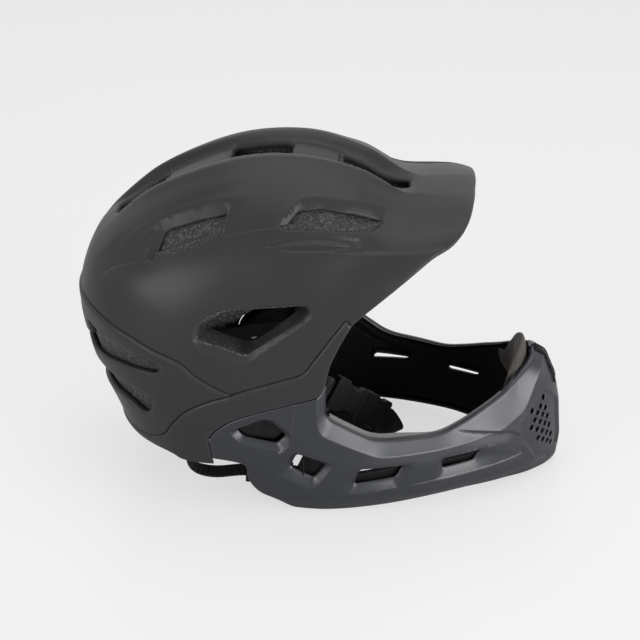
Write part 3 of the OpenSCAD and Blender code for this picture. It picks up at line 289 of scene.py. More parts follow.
def makeGrainGroup():
    # moulded grain: fine noise over slow unevenness, on Object coordinates in metres
    tree, start, end = newGroup(
        "mouldedGrain",
        [("Vector", "NodeSocketVector", None), ("Grain size", "NodeSocketFloat", 2500.0),
         ("Patch size", "NodeSocketFloat", 28.0)],
        [("Height", "NodeSocketFloat"), ("Patches", "NodeSocketFloat")])
    fine = addNode(tree, "ShaderNodeTexNoise", Detail=2.0, Roughness=0.6)
    slow = addNode(tree, "ShaderNodeTexNoise", Detail=4.0, Roughness=0.55)
    join = tree.links.new
    join(start.outputs["Vector"], fine.inputs["Vector"])
    join(start.outputs["Vector"], slow.inputs["Vector"])
    join(start.outputs["Grain size"], fine.inputs["Scale"])
    join(start.outputs["Patch size"], slow.inputs["Scale"])
    join(fine.outputs["Fac"], end.inputs["Height"])
    join(slow.outputs["Fac"], end.inputs["Patches"])
    return tree


def makeEdgeHighlightGroup():
    # painted highlight on edges: 1 where the geometry is sharply convex, broken up by noise
    tree, start, end = newGroup(
        "paintedEdgeHighlight", [("Vector", "NodeSocketVector", None), ("Low", "NodeSocketFloat", 0.52),
                     ("High", "NodeSocketFloat", 0.6)], [("Mask", "NodeSocketFloat")])
    geometry = addNode(tree, "ShaderNodeNewGeometry")
    spread = addNode(tree, "ShaderNodeMapRange")
    noise = addNode(tree, "ShaderNodeTexNoise", Scale=260.0, Detail=3.0)
    product = addNode(tree, "ShaderNodeMath", operation="MULTIPLY")
    join = tree.links.new
    join(start.outputs["Vector"], noise.inputs["Vector"])
    join(geometry.outputs["Pointiness"], spread.inputs["Value"])
    join(start.outputs["Low"], spread.inputs["From Min"])
    join(start.outputs["High"], spread.inputs["From Max"])
    join(spread.outputs["Result"], product.inputs[0])
    join(noise.outputs["Fac"], product.inputs[1])
    join(product.outputs["Value"], end.inputs["Mask"])
    return tree


grainGroup = makeGrainGroup()
edgeHighlightGroup = makeEdgeHighlightGroup()


def startMaterial(name, roughness, specular):
    material = bpy.data.materials.new(name)
    material.use_nodes = True
    tree = material.node_tree
    shader = tree.nodes["Principled BSDF"]
    shader.inputs["Roughness"].default_value = roughness
    shader.inputs["Specular IOR Level"].default_value = specular
    place = addNode(tree, "ShaderNodeTexCoord")
    return material, tree, shader, place.outputs["Object"]


def mouldedPlastic(name, look):
    # look: colour, light (the colour of the painted highlight on convex edges), roughness and its spread,
    # grain size, bump and specular
    material, tree, shader, place = startMaterial(name, look["roughness"], look["specular"])
    join = tree.links.new
    grain = addNode(tree, "ShaderNodeGroup", node_tree=grainGroup)
    grain.inputs["Grain size"].default_value = look["grain"]
    edgeHighlight = addNode(tree, "ShaderNodeGroup", node_tree=edgeHighlightGroup)
    join(place, grain.inputs["Vector"])
    join(place, edgeHighlight.inputs["Vector"])
    # base colour lifted towards the light colour on convex edges: a painted highlight
    addTint(tree, shader, look, edgeHighlight.outputs["Mask"])
    gloss = addNode(tree, "ShaderNodeMapRange")
    gloss.inputs["From Min"].default_value = 0.3
    gloss.inputs["From Max"].default_value = 0.7
    gloss.inputs["To Min"].default_value = look["roughness"] - look["spread"]
    gloss.inputs["To Max"].default_value = look["roughness"] + look["spread"]
    join(grain.outputs["Patches"], gloss.inputs["Value"])
    join(gloss.outputs["Result"], shader.inputs["Roughness"])
    addBump(tree, shader, grain.outputs["Height"], look["bump"], 0.0001)
    return material


def beadedFoam(name, look):
    # expanded beads: cells from pale to dark, with dark gaps between them
    material, tree, shader, place = startMaterial(name, 0.55, 0.2)
    join = tree.links.new
    cells, edges = (addNode(tree, "ShaderNodeTexVoronoi", Scale=look["beads"], Randomness=0.9, feature=kind)
                    for kind in ("F1", "DISTANCE_TO_EDGE"))
    ramp = addNode(tree, "ShaderNodeValToRGB")
    stops = ramp.color_ramp.elements
    stops[0].position, stops[0].color = 0.2, (*look["dark"], 1)
    stops[1].position, stops[1].color = 0.95, (*look["pale"], 1)
    middle = stops.new(0.62)
    middle.color = (*look["middle"], 1)
    gaps = addNode(tree, "ShaderNodeMapRange")
    gaps.inputs["From Max"].default_value = 0.09
    gaps.inputs["To Min"].default_value = 0.25
    shade = addNode(tree, "ShaderNodeMix", data_type="RGBA", blend_type="MULTIPLY")
    shade.inputs["Factor"].default_value = 1.0
    split = addNode(tree, "ShaderNodeSeparateColor")
    for node in (cells, edges):
        join(place, node.inputs["Vector"])
    join(cells.outputs["Color"], split.inputs["Color"])
    join(split.outputs["Red"], ramp.inputs["Fac"])
    join(edges.outputs["Distance"], gaps.inputs["Value"])
    join(ramp.outputs["Color"], shade.inputs["A"])
    join(gaps.outputs["Result"], shade.inputs["B"])
    join(shade.outputs["Result"], shader.inputs["Base Color"])
    addBump(tree, shader, edges.outputs["Distance"], 0.7, 0.0006)
    return material


def wovenCloth(name, look):
    # two crossed waves make the weave, a slow noise the cloth's unevenness
    material, tree, shader, place = startMaterial(name, look["roughness"], 0.1)
    join = tree.links.new
    shader.inputs["Sheen Weight"].default_value = look["sheen"]
    shader.inputs["Sheen Roughness"].default_value = 0.5
    along, across = (
        addNode(tree, "ShaderNodeTexWave", Scale=look["threads"], Distortion=0.6, bands_direction=way)
        for way in ("X", "Z"))
    weave = addNode(tree, "ShaderNodeMath", operation="MULTIPLY")
    noise = addNode(tree, "ShaderNodeTexNoise", Scale=look["patches"], Detail=5.0)
    for node in (along, across, noise):
        join(place, node.inputs["Vector"])
    join(along.outputs["Fac"], weave.inputs[0])
    join(across.outputs["Fac"], weave.inputs[1])
    addTint(tree, shader, look, noise.outputs["Fac"])
    addBump(tree, shader, weave.outputs["Value"], look["bump"], 0.0002)
    return material


def ribbedWebbing(name, look):
    # ribs across the strap and fine threads along it, both read from its own UV in metres
    material, tree, shader, place = startMaterial(name, look["roughness"], 0.12)
    join = tree.links.new
    run = addNode(tree, "ShaderNodeUVMap", uv_map="run")
    ribs = addNode(tree, "ShaderNodeTexWave", Scale=look["ribs"], bands_direction="X")
    threads = addNode(tree, "ShaderNodeTexWave", Scale=look["threads"], Distortion=0.4, bands_direction="Y")
    noise = addNode(tree, "ShaderNodeTexNoise", Scale=look["patches"], Detail=4.0)
    both = addNode(tree, "ShaderNodeMath", operation="MULTIPLY_ADD")
    both.inputs[1].default_value = 0.25
    worn = addNode(tree, "ShaderNodeMath", operation="MULTIPLY")
    join(run.outputs["UV"], ribs.inputs["Vector"])
    join(run.outputs["UV"], threads.inputs["Vector"])
    join(place, noise.inputs["Vector"])
    join(threads.outputs["Fac"], both.inputs[0])
    join(ribs.outputs["Fac"], both.inputs[2])
    join(ribs.outputs["Fac"], worn.inputs[0])
    join(noise.outputs["Fac"], worn.inputs[1])
    addTint(tree, shader, look, worn.outputs["Value"])
    addBump(tree, shader, both.outputs["Value"], look["bump"], 0.0003)
    return material


# in the moulded looks, light is the colour of the painted highlight on convex edges
shellPaint = mouldedPlastic("shellCharcoal", {
    "colour": (0.026, 0.026, 0.028), "light": (0.06, 0.06, 0.062), "roughness": 0.37, "spread": 0.03,
    "grain": 2200.0, "bump": 0.12, "specular": 0.18})
guardPaint = mouldedPlastic("guardSlate", {
    "colour": (0.022, 0.0235, 0.028), "light": (0.07, 0.075, 0.088), "roughness": 0.3, "spread": 0.03,
    "grain": 2600.0, "bump": 0.08, "specular": 0.4})
blackPlastic = mouldedPlastic("blackMoulding", {
    "colour": (0.004, 0.004, 0.0045), "light": (0.02, 0.02, 0.022), "roughness": 0.36, "spread": 0.05,
    "grain": 1500.0, "bump": 0.25, "specular": 0.14})
liningBlack = mouldedPlastic("liningBlack", {
    "colour": (0.009, 0.009, 0.0095), "light": (0.02, 0.02, 0.021), "roughness": 0.6, "spread": 0.06,
    "grain": 1100.0, "bump": 0.4, "specular": 0.08})
foamBeads = beadedFoam("foamBeads", {
    "beads": 1150.0, "dark": (0.026, 0.026, 0.026), "middle": (0.052, 0.051, 0.05),
    "pale": (0.11, 0.108, 0.105)})
padCloth = wovenCloth("padCloth", {
    "colour": (0.009, 0.009, 0.01), "light": (0.02, 0.02, 0.022), "roughness": 0.8, "threads": 320.0,
    "bump": 0.5, "patches": 60.0, "sheen": 0.08})
chinCloth = wovenCloth("chinCloth", {
    "colour": (0.045, 0.04, 0.036), "light": (0.085, 0.078, 0.072), "roughness": 0.7, "threads": 420.0,
    "bump": 0.3, "patches": 90.0, "sheen": 0.08})
webbing = ribbedWebbing("webbing", {
    "colour": (0.006, 0.006, 0.0065), "light": (0.024, 0.024, 0.026), "roughness": 0.55,
    "ribs": 620.0 / (2 * math.pi), "threads": 1500.0 / (2 * math.pi), "bump": 0.9, "patches": 60.0})
feltTrim = wovenCloth("feltTrim", {
    "colour": (0.03, 0.03, 0.031), "light": (0.4, 0.4, 0.405), "roughness": 0.85, "threads": 900.0,
    "bump": 0.8, "patches": 1500.0, "sheen": 0.3})
springSteel = mouldedPlastic("springSteel", {
    "colour": (0.5, 0.5, 0.52), "light": (0.7, 0.7, 0.72), "roughness": 0.28, "spread": 0.05,
    "grain": 900.0, "bump": 0.05, "specular": 0.5})
springSteel.node_tree.nodes["Principled BSDF"].inputs["Metallic"].default_value = 1.0
print("materials made")

# The shell's form: a side profile round the ear, and half widths that fall off towards both ends.

shellForm = {
    "ear": (-38.0, 112.0), "halfWidth": 97.0, "frontTaper": 0.044, "rearTaper": 0.42,
    "channelDepth": 5.0, "channelHalf": 13.0, "channelSide": 7.0, "spacing": 2.2,
    "beltDepth": 2.6, "shoulder": 0.1, "ribRise": 1.4, "ribHalf": 5.5,
    "sidePower": (2.56, 1.03), "crossPower": (2.18, 0.62), "arcPowers": (2.9, 2.4), "arcSquash": 0.84,
}
# The belt's two edges as (angle round the ear point, share of the half width), and the ribs' crests
# as (x, distance past the channel's edge).
beltTop = np.array([(31, 0.28), (41, 0.16), (45, 0.19), (57, 0.32), (69, 0.4), (83, 0.45), (100, 0.485),
                    (117, 0.49), (134, 0.52), (150, 0.47), (165, 0.45)])
beltFoot = np.array([(31, 0.54), (42, 0.61), (60, 0.7), (80, 0.765), (105, 0.753), (141, 0.71), (160, 0.55),
                     (165, 0.52)])
ribLine = np.array([(-120, 0.5), (-60, 7), (-5, 7), (40, -1), (66, -7)])
ear = np.array(shellForm["ear"])
sidePoints = [
    (106, 197), (60, 201), (28, 217), (-9, 227), (-48, 225.5), (-85, 213), (-119, 193.5), (-149, 164),
    (-162, 123),
    (-154, 81), (-140, 48), (-124, 17), (-86, -20), (17, -38), (92, 37), (112, 112), (142, 164)]
sideCurve = smoothLine(sidePoints, 60, True)
sideAngle = np.unwrap(np.arctan2(sideCurve[:, 1] - ear[1], sideCurve[:, 0] - ear[0]))
sideRadius = np.linalg.norm(sideCurve - ear, axis=1)
# length of a typical cross section's arc from the ear's side, by the angle phi up to the crown
arcPhi = np.linspace(0, math.pi / 2, 3000)
arcRun = np.concatenate([[0], np.cumsum(np.hypot(
    np.diff(np.sin(arcPhi) ** (2 / shellForm["arcPowers"][0])),
    shellForm["arcSquash"] * np.diff(np.cos(arcPhi) ** (2 / shellForm["arcPowers"][1]))))])


def profileAt(angle):
    # distance of the side profile from the ear, and the two powers, which grow boxier to the front
    radius = np.interp(angle, sideAngle, sideRadius, period=2 * math.pi)
    boxy = ease((ear[0] + radius * np.cos(angle) + 60) / 140)
    return radius, *(base + more * boxy for base, more in (shellForm["sidePower"], shellForm["crossPower"]))


def halfWidth(x):
    taper = np.where(x > -50, shellForm["frontTaper"], shellForm["rearTaper"])
    return shellForm["halfWidth"] * (1 - ((x + 50) / 150 * taper) ** 2)


def softInterp(at, table, blur=5.0):
    # a table read three times and averaged, so its corners are soft
    return sum(np.interp(at + d, table[:, 0], table[:, 1]) for d in (-blur, 0, blur)) / 3


def beltPress(degrees, t):
    # the sunk belt: from nothing under the rib to full at its foot, then out over the shoulder
    top, foot = softInterp(degrees, beltTop), softInterp(degrees, beltFoot)
    share = ease((degrees - 29) / 8) * (1 - ease((degrees - 146) / 18))
    under = np.clip((t - top + 0.02) / (foot - top), 0, 1) ** 0.72
    past = (t - foot) / shellForm["shoulder"]
    over = 0.5 * (1 - ease(past / 0.13)) + 0.5 * (1 - ease(past / 1.4))
    return shellForm["beltDepth"] * share * np.where(t < foot, under, over)


def ribLift(x, y):
    crest = shellForm["channelHalf"] + shellForm["channelSide"] + softInterp(x, ribLine, 12.0)
    return (shellForm["ribRise"] * np.exp(-((np.abs(y) - crest) / shellForm["ribHalf"]) ** 2)
            * ease((x + 138) / 30) * ease((74 - x) / 30))


def planAt(degrees, t):
    # the plan's point at an angle round the ear point and a share of the half width
    angle = np.radians(degrees)
    radius, _, m = profileAt(angle)
    run = np.interp(np.arccos(np.asarray(t) ** (m / 2)), arcPhi, arcRun) * radius
    return ear + run[:, None] * np.stack([np.cos(angle), np.sin(angle)], axis=1)


def flatten(side):
    # side view (x, z) to the flat plan of half the shell, where lengths are nearly true
    v = np.asarray(side, float) - ear
    angle = np.arctan2(v[:, 1], v[:, 0])
    radius, n, _ = profileAt(angle)
    rho = np.clip(np.linalg.norm(v, axis=1) / radius, 1e-6, 1)
    run = np.interp(np.arcsin(rho ** (n / 2)), arcPhi, arcRun) * radius
    return ear + run[:, None] * np.stack([np.cos(angle), np.sin(angle)], axis=1)


def onShell(plan):
    # flat plan to the right half of the shell: radius times sin(phi)^(2/n) in the side view, half
    # width times cos(phi)^(2/m) across, with the crown's channel pressed in. Also the point's place
    # in the side view before that press.
    v = plan - ear
    angle = np.arctan2(v[:, 1], v[:, 0])
    radius, n, m = profileAt(angle)
    phi = np.interp(np.linalg.norm(v, axis=1) / radius, arcRun, arcPhi)
    r = radius * np.sin(phi) ** (2 / n)
    x = ear[0] + r * np.cos(angle)
    y = -halfWidth(x) * np.cos(phi) ** (2 / m)
    pastChannel = (np.abs(y) - shellForm["channelHalf"]) / shellForm["channelSide"]
    press = shellForm["channelDepth"] * (1 - ease(pastChannel))
    press *= ease((x + 150) / 22) * (1 - ease((x - 44) / 24))
    press += beltPress(np.degrees(angle) % 360, np.cos(phi) ** (2 / m)) - ribLift(x, y)
    r2 = np.maximum(r - press, 0)
    place = np.stack([ear[0] + r2 * np.cos(angle), y, ear[1] + r2 * np.sin(angle)], axis=1)
    return place, np.stack([x, ear[1] + r * np.sin(angle)], axis=1)


def reach(plan):
    # distance of plan points from the ear point, and that of the helmet's middle in the same direction
    rel = plan - ear
    return np.linalg.norm(rel, axis=1), profileAt(np.arctan2(rel[:, 1], rel[:, 0]))[0] * arcRun[-1]


def shellNormals(plan):
    v = plan - ear
    far = np.linalg.norm(v, axis=1, keepdims=True)
    out = v / np.maximum(far, 1e-6)
    step = 0.2
    along = v + step * np.stack([-out[:, 1], out[:, 0]], axis=1)
    here, _ = onShell(plan)
    inner, _ = onShell(plan - out * step)
    beside, _ = onShell(ear + along * far / np.linalg.norm(along, axis=1, keepdims=True))
    normal = np.cross(here - inner, beside - here)
    normal /= np.linalg.norm(normal, axis=1, keepdims=True) + 1e-12
    normal *= np.where(np.sum(normal * (here - np.array([ear[0], 0, ear[1]])), axis=1) < 0, -1, 1)[:, None]
    middle = np.abs(here[:, 1]) < 0.02
    normal[middle, 1] = 0
    return normal / np.linalg.norm(normal, axis=1, keepdims=True)


def clipToShell(line):
    # the part of a side-view line that lies on the shell, run on to the middle
    fine = evenly(line, 0.5)
    angle = np.arctan2(fine[:, 1] - ear[1], fine[:, 0] - ear[0])
    on = np.linalg.norm(fine - ear, axis=1) < profileAt(angle)[0] * 0.9995
    first, last = np.argmax(on), len(on) - 1 - np.argmax(on[::-1])
    return fine[max(first - 1, 0):min(last + 2, len(fine))]


# Edges between the shells, seen from the side as (x, z).
rearCrease = smoothLine([
    (-180, 133), (-149, 127), (-130, 122), (-116, 118.5), (-103, 114), (-84, 108), (-74, 100), (-62, 93),
    (-50, 88)])
bandRear = smoothLine([
    (-180, 38), (-116, 38.5), (-106, 41), (-98, 46.5), (-90, 60), (-80, 72), (-64, 82), (-50, 88)])
bandFront = smoothLine([(-50, 88), (-37, 93), (-17, 100), (-4, 105), (3, 114), (14, 130), (24, 144)])
browRim = smoothLine([
    (28, 140), (39, 150), (61, 168), (78, 180.5), (90, 186), (96.5, 190.5), (101, 195), (103.5, 200),
    (104.5, 205)])
frontEdge = smoothLine([(28, 140), (22.5, 130), (17, 118), (14, 110), (11.5, 99), (10, 93)])
guardSeam = smoothLine([
    (10, 93), (6, 88), (-10, 82.7), (-30, 76), (-50, 67.7), (-60, 60), (-66, 52), (-66, 41), (-64.5, 28.5)])
hem = smoothLine([(-64.5, 28.5), (-73, 27.8), (-87, 27.2), (-102, 30.5), (-180, 32)])
bandFront = np.vstack([bandFront, browRim[:1]])
upperRegion = np.vstack([rearCrease, bandFront, browRim, [(104.5, 260), (-180, 260)]])
rearRegion = np.vstack([rearCrease, bandRear[::-1]])
lowerRegion = np.vstack([bandRear, bandFront, frontEdge, guardSeam, hem])

# Openings in the shells, seen from the side. Each large vent has its hole and, round it, the outer
# edge of the slope that leads in.
earWindow = roundCorners([
    (-72.5, 127), (-71.2, 133.5), (-68.6, 138), (-64.4, 142), (-55.7, 146), (-42, 148), (-21.6, 150.5),
    (-5, 151.8), (-0.8, 150.9), (0.3, 148), (-3.6, 143), (-37.2, 118), (-41, 116), (-54.4, 119.6),
    (-69.8, 123.6)], 2)
windowBevel = roundCorners([
    (-75.4, 127), (-74.4, 134), (-71, 139.5), (-65.8, 144), (-56, 148.2), (-40, 150), (-20, 152.6),
    (-3.7, 154.2), (1.2, 153), (3.4, 148.5), (2.2, 144.5), (-35.5, 113.5), (-41.5, 110.8), (-56, 115),
    (-72.5, 119.5), (-75, 123)], 3)
ventRear = roundCorners([
    (-104.6, 171), (-101.7, 180), (-98.7, 186.4), (-93.8, 190), (-74.5, 198.1), (-52.6, 204.8),
    (-57.2, 194.3), (-60.6, 190.2), (-82.3, 181)], 1.5)
ventRearLip = roundCorners([
    (-110.3, 168), (-108.5, 176.6), (-105.7, 183.4), (-101.9, 188.5), (-93.6, 193.7), (-74.8, 201.7),
    (-55.4, 208), (-51.6, 206.6), (-56.4, 194), (-60, 189.2), (-82.3, 180.2)], 1.5)
ventFront = roundCorners([
    (-17.1, 199), (-13.2, 204.2), (-7.9, 209), (7.2, 209.6), (27.8, 205.5), (46.8, 198.6), (39.5, 194.9),
    (10, 197.6)], 1.5)
ventFrontLip = roundCorners([
    (-22.1, 198.4), (-17.4, 204.1), (-12.5, 208.7), (-5.2, 212.3), (7, 212), (27.5, 208), (49.6, 199.8),
    (50.6, 198.4), (41.2, 193.9), (10, 196.9)], 1.5)
slotTop = roundCorners([(-152, 112.5), (-142, 109.7), (-148.5, 99)], 1.5)
slotMiddle = roundCorners([
    (-159, 96), (-151, 102.5), (-136, 109), (-96.5, 102.6), (-100, 96), (-130, 93.5), (-150, 88.5)], 3)
slotBottom = roundCorners([
    (-157, 74), (-146, 81.3), (-106.5, 76), (-103.7, 73), (-107.9, 60.6), (-114, 59), (-127, 64.5),
    (-150, 64.5)], 3)
# Crown openings: rear and front end in x, half width at the rear and at the front.
crownSlots = [(-138, -104, 9, 13), (-59, -17, 13, 12), (15, 60, 10, 7)]


def slotOnCrown(rear, front, rearHalf, frontHalf):
    # a crown opening's right-hand edge in the flat plan: from the middle out, along and back
    top = roundCorners([(rear, 0), (rear, rearHalf), (front, frontHalf), (front, 0)], 4, closed=False)
    angle = math.pi - np.linspace(0, math.pi, 2400)
    x = ear[0] + profileAt(angle)[0] * np.cos(angle)
    plan = []
    for px, py in evenly(top, 0.8):
        # the angle and the width's angle phi settle in a few rounds
        a = np.interp(px, x, angle)
        for _ in range(4):
            radius, n, m = (float(v[0]) for v in profileAt(np.array([a])))
            t = min(py / float(halfWidth(np.array([px]))[0]), 0.999)
            phi = math.acos(t ** (m / 2)) if t > 0 else math.pi / 2
            a = math.acos(np.clip((px - ear[0]) / (radius * math.sin(phi) ** (2 / n)), -1, 1))
        run = np.interp(phi, arcPhi, arcRun) * radius
        plan.append(ear + run * np.array([math.cos(a), math.sin(a)]))
    return np.array(plan)


def triangulate(points, lines, spacing, clear=0.9):
    # lines are kept as edges; points too near to them are left out
    verts, edges = [], []
    everyLine = []
    for line, closed in lines:
        first = len(verts)
        verts.extend(line.tolist())
        count = len(line)
        edges.extend((first + i, first + i + 1) for i in range(count - 1))
        if closed:
            edges.append((first + count - 1, first))
        everyLine.append(line)
    near = np.vstack(everyLine)
    cell = max(spacing, clear)
    keys = {}
    for p in near:
        keys.setdefault((int(p[0] // cell), int(p[1] // cell)), []).append(p)
    kept = []
    for p in points:
        cx, cy = int(p[0] // cell), int(p[1] // cell)
        close = False
        for i in (cx - 1, cx, cx + 1):
            for j in (cy - 1, cy, cy + 1):
                for q in keys.get((i, j), ()):
                    if (p[0] - q[0]) ** 2 + (p[1] - q[1]) ** 2 < clear * clear:
                        close = True
                        break
        if not close:
            kept.append(p)
    verts.extend(np.array(kept).tolist())
    out = delaunay_2d_cdt([Vector(v) for v in verts], edges, [], 0, 1e-5)
    return np.array([(v.x, v.y) for v in out[0]]), np.array(out[2])


def hexPoints(low, high, spacing):
    rows = np.arange(low[1], high[1], spacing * 0.866)
    columns = np.arange(low[0], high[0], spacing)
    x, y = np.meshgrid(columns, rows)
    x = x + (np.arange(len(rows)) % 2)[:, None] * spacing / 2
    return np.stack([x.ravel(), y.ravel()], axis=1)


# Lines of relief on the shell's side, as (x, z). Each is laid in the flat plan before use.
browEdge = smoothLine([(6, 184.8), (30, 183), (52, 183), (86, 185)])
scoopOutline = roundCorners([
    (-30.9, 188), (-25.2, 191), (-14.3, 194.6), (-2, 196), (12.7, 195.3), (26, 192.4), (35.9, 189.9),
    (32.8, 187.4), (24, 185.9), (8, 185), (-8, 184.6), (-25, 185.6)], 1.5)
scoopBlade = smoothLine([(-27, 187), (-12, 189.2), (2.4, 190), (18.4, 189.4), (33, 187.9)])
eyebrowRear = smoothLine([
    (-133, 166), (-119, 178), (-104, 189), (-93.6, 195), (-74.8, 203), (-55, 209.5), (-38, 214)])
eyebrowFront = smoothLine([
    (-22.6, 199), (-18, 204.8), (-12.8, 209.6), (-5, 213.3), (7, 213), (27.5, 209), (49, 201)])
ventSlopes = [(ventRear, ventRearLip, 3.0), (ventFront, ventFrontLip, 3.0), (earWindow, windowBevel, 3.4)]
rearSlots = [slotTop, slotMiddle, slotBottom]
reliefForm = {"browSink": 1.3, "browProud": 0.9, "scoop": 1.9, "scoopSlope": 2.4, "blade": 1.5,
              "slotLip": 1.3, "slotRound": 1.8, "rearBrow": (0.9, 3.2), "frontBrow": (0.7, 1.5)}


def shellRelief(side):
    # how far each point is pressed in: rounded edges, slopes into the vents, scoop and creases
    x, z = side[:, 0], side[:, 1]
    plan = flatten(side)
    depth = np.zeros(len(side))

    # the brow stands proud below its crease
    toBrow = distanceTo(plan, flatten(browEdge))
    browUp = z > np.interp(x, browEdge[:, 0], browEdge[:, 1])
    browEnds = ease((x - 8) / 26)
    sunk = np.where(browUp, ease(toBrow / 1.2) * np.clip(1 - toBrow / 15, 0, 1), 0)
    proud = np.where(browUp, np.exp(-(toBrow / 0.8) ** 2), np.clip(1 - toBrow / 9, 0, 1))
    depth += browEnds * (reliefForm["browSink"] * sunk - reliefForm["browProud"] * proud)

    # the slopes that lead into the large vents and the ear window
    for hole, lip, deep in ventSlopes:
        within = inside(side, lip)
        toHole = distanceTo(side, hole, True)
        toLip = distanceTo(side, lip, True)
        ramp = np.where(inside(side, hole), 1, (toLip / (toHole + toLip + 1e-6)) ** 0.9)
        depth += np.where(within, deep * ramp, 0.4 * (1 - ease(toLip / 1.0)))

    # crescent scoop with a raised blade along its foot
    inScoop = inside(side, scoopOutline)
    toScoop = distanceTo(side, scoopOutline, True)
    blade = np.exp(-(distanceTo(side, scoopBlade) / reliefForm["blade"]) ** 4)
    hollow = reliefForm["scoop"] * ease(toScoop / reliefForm["scoopSlope"]) * (1 - 0.8 * blade)
    depth += np.where(inScoop, hollow, 0.5 * (1 - ease(toScoop / 1.0)))

    # rounded lips round the rear slots, and the raised brows over the two large vents
    for outline in rearSlots:
        depth += reliefForm["slotLip"] * roundedEdge(distanceTo(side, outline, True), reliefForm["slotRound"])
    for line, (high, wide), ends in (
            (eyebrowRear, reliefForm["rearBrow"], ease((x + 134) / 20) * ease((-34 - x) / 20)),
            (eyebrowFront, reliefForm["frontBrow"], ease((54 - x) / 30))):
        depth -= high * np.exp(-(distanceTo(plan, flatten(line)) / wide) ** 2) * ends
    return depth


# Each shell with its region, its borders and the upper edges along which it stands proud.
shellParts = [
    ("upperShell", upperRegion, (rearCrease, bandFront, browRim), ()),
    ("rearShell", rearRegion, (rearCrease, bandRear), (rearCrease,)),
    ("lowerShell", lowerRegion, (bandRear, bandFront, frontEdge, guardSeam, hem), (bandRear, bandFront))]
joinEdge = {"radius": 0.8, "depth": 0.7}


def shellLines(slotPlans):
    # every line that the triangles keep, in the flat plan, with whether it is closed
    borders = [clipToShell(v) for v in (rearCrease, bandRear, bandFront, browRim, frontEdge, guardSeam, hem)]
    lines = [(evenly(flatten(v), 1.4), False) for v in borders]

    def shiftedInSide(line, offsets, gap):
        lines.extend((evenly(flatten(shifted(line, d)), gap), False) for d in offsets)

    def shiftedInPlan(line, offsets, gap):
        lines.extend((evenly(shifted(line, d), gap), False) for d in offsets)

    def ringsRound(outline, offsets, fine, gap):
        for d in offsets:
            ring = flatten(evenly(grown(outline, d), fine, True))
            lines.append((evenly(ring, gap, True), True))

    for border in borders:
        shiftedInSide(border, (-1.7, -0.8, 0.8, 1.7), 1.6)
    for vent in (earWindow, ventRear, ventFront):
        ringsRound(vent, (0, 0.5), 0.7, 1.1)
    for slot in rearSlots:
        ringsRound(slot, (0, 0.45, 1.0), 0.7, 1.1)
    for lip in (windowBevel, ventRearLip, ventFrontLip):
        ringsRound(lip, (0, 0.7), 0.7, 1.2)
    ringsRound(scoopOutline, (-2.2, -1.1, 0, 0.8), 0.5, 1.0)
    shiftedInSide(scoopBlade, (-1.5, -0.9, 0, 0.9, 1.5), 1.0)
    for line in (browEdge, eyebrowRear, eyebrowFront):
        shiftedInPlan(flatten(line), (-1.4, 0, 1.4), 1.5)
    degrees = np.linspace(34, 164, 400)
    for table in (beltTop, beltFoot):
        shiftedInPlan(planAt(degrees, softInterp(degrees, table)), (-1.4, -0.6, 0, 0.6, 1.4, 2.4), 1.5)
    for plan in slotPlans:
        shiftedInPlan(plan, (0, 0.6, 1.4, 2.4), 1.0)
    return lines


def buildShells():
    slotPlans = [slotOnCrown(*v) for v in crownSlots]
    lines = shellLines(slotPlans)
    angle = np.linspace(0, 2 * math.pi, 760, endpoint=False)
    towards = np.stack([np.cos(angle), np.sin(angle)], axis=1)
    middleLine = ear + (profileAt(angle)[0] * arcRun[-1])[:, None] * towards
    lines.append((middleLine, True))
    points = hexPoints(middleLine.min(0), middleLine.max(0), shellForm["spacing"])
    far, middle = reach(points)
    _, pointSide = onShell(points)
    wanted = inside(pointSide, upperRegion) | inside(pointSide, rearRegion) | inside(pointSide, lowerRegion)
    points = points[(far < middle - 1.0) & wanted]
    kept = []
    for line, closed in lines:
        # nothing runs past the middle
        far, middle = reach(line)
        held = ear + (line - ear) / np.maximum(far, 1e-6)[:, None] * middle[:, None]
        kept.append((np.where((far > middle)[:, None], held, line), closed))
    plan, faces = triangulate(points, kept, shellForm["spacing"])
    print("shell plan:", len(plan), "points,", len(faces), "faces")
    far, middle = reach(plan)
    onMiddle = far > middle - 0.02
    place, side = onShell(plan)
    place[onMiddle, 1] = 0
    normal = shellNormals(plan)
    normal[onMiddle, 1] = 0
    relief = shellRelief(side)
    for slotPlan in slotPlans:
        relief += 1.3 * roundedEdge(distanceTo(plan, slotPlan), 2.0)
    centre = plan[faces].mean(1)
    _, centreSide = onShell(centre)
    far, middle = reach(centre)
    left = far <= middle
    for outline in (earWindow, ventRear, ventFront, *rearSlots):
        left &= ~inside(centre, flatten(evenly(outline, 1.0, True)))
    for slotPlan in slotPlans:
        left &= ~inside(centre, np.vstack([slotPlan, ear + (slotPlan[::-1] - ear) * 1.3]))
    pieces = {}
    for name, region, ends, proudEdges in shellParts:
        toEnds = np.min([distanceTo(side, line) for line in ends], axis=0)
        joined = relief + joinEdge["depth"] * roundedEdge(toEnds, joinEdge["radius"])
        # the lower panels stand proud along their upper edges, which are chamfered
        for edge in proudEdges:
            toEdge = distanceTo(plan, flatten(evenly(edge, 1.0)))
            joined -= 1.1 * np.clip(toEdge / 1.7, 0, 1) * (1 - ease((toEdge - 1.7) / 13))
            joined += 0.25 * (1 - ease(toEdge / 1.0))
        mine = inside(centreSide, region) & left
        pieces[name] = (place - normal * joined[:, None], normal, faces[mine], onMiddle, joined)
    return pieces


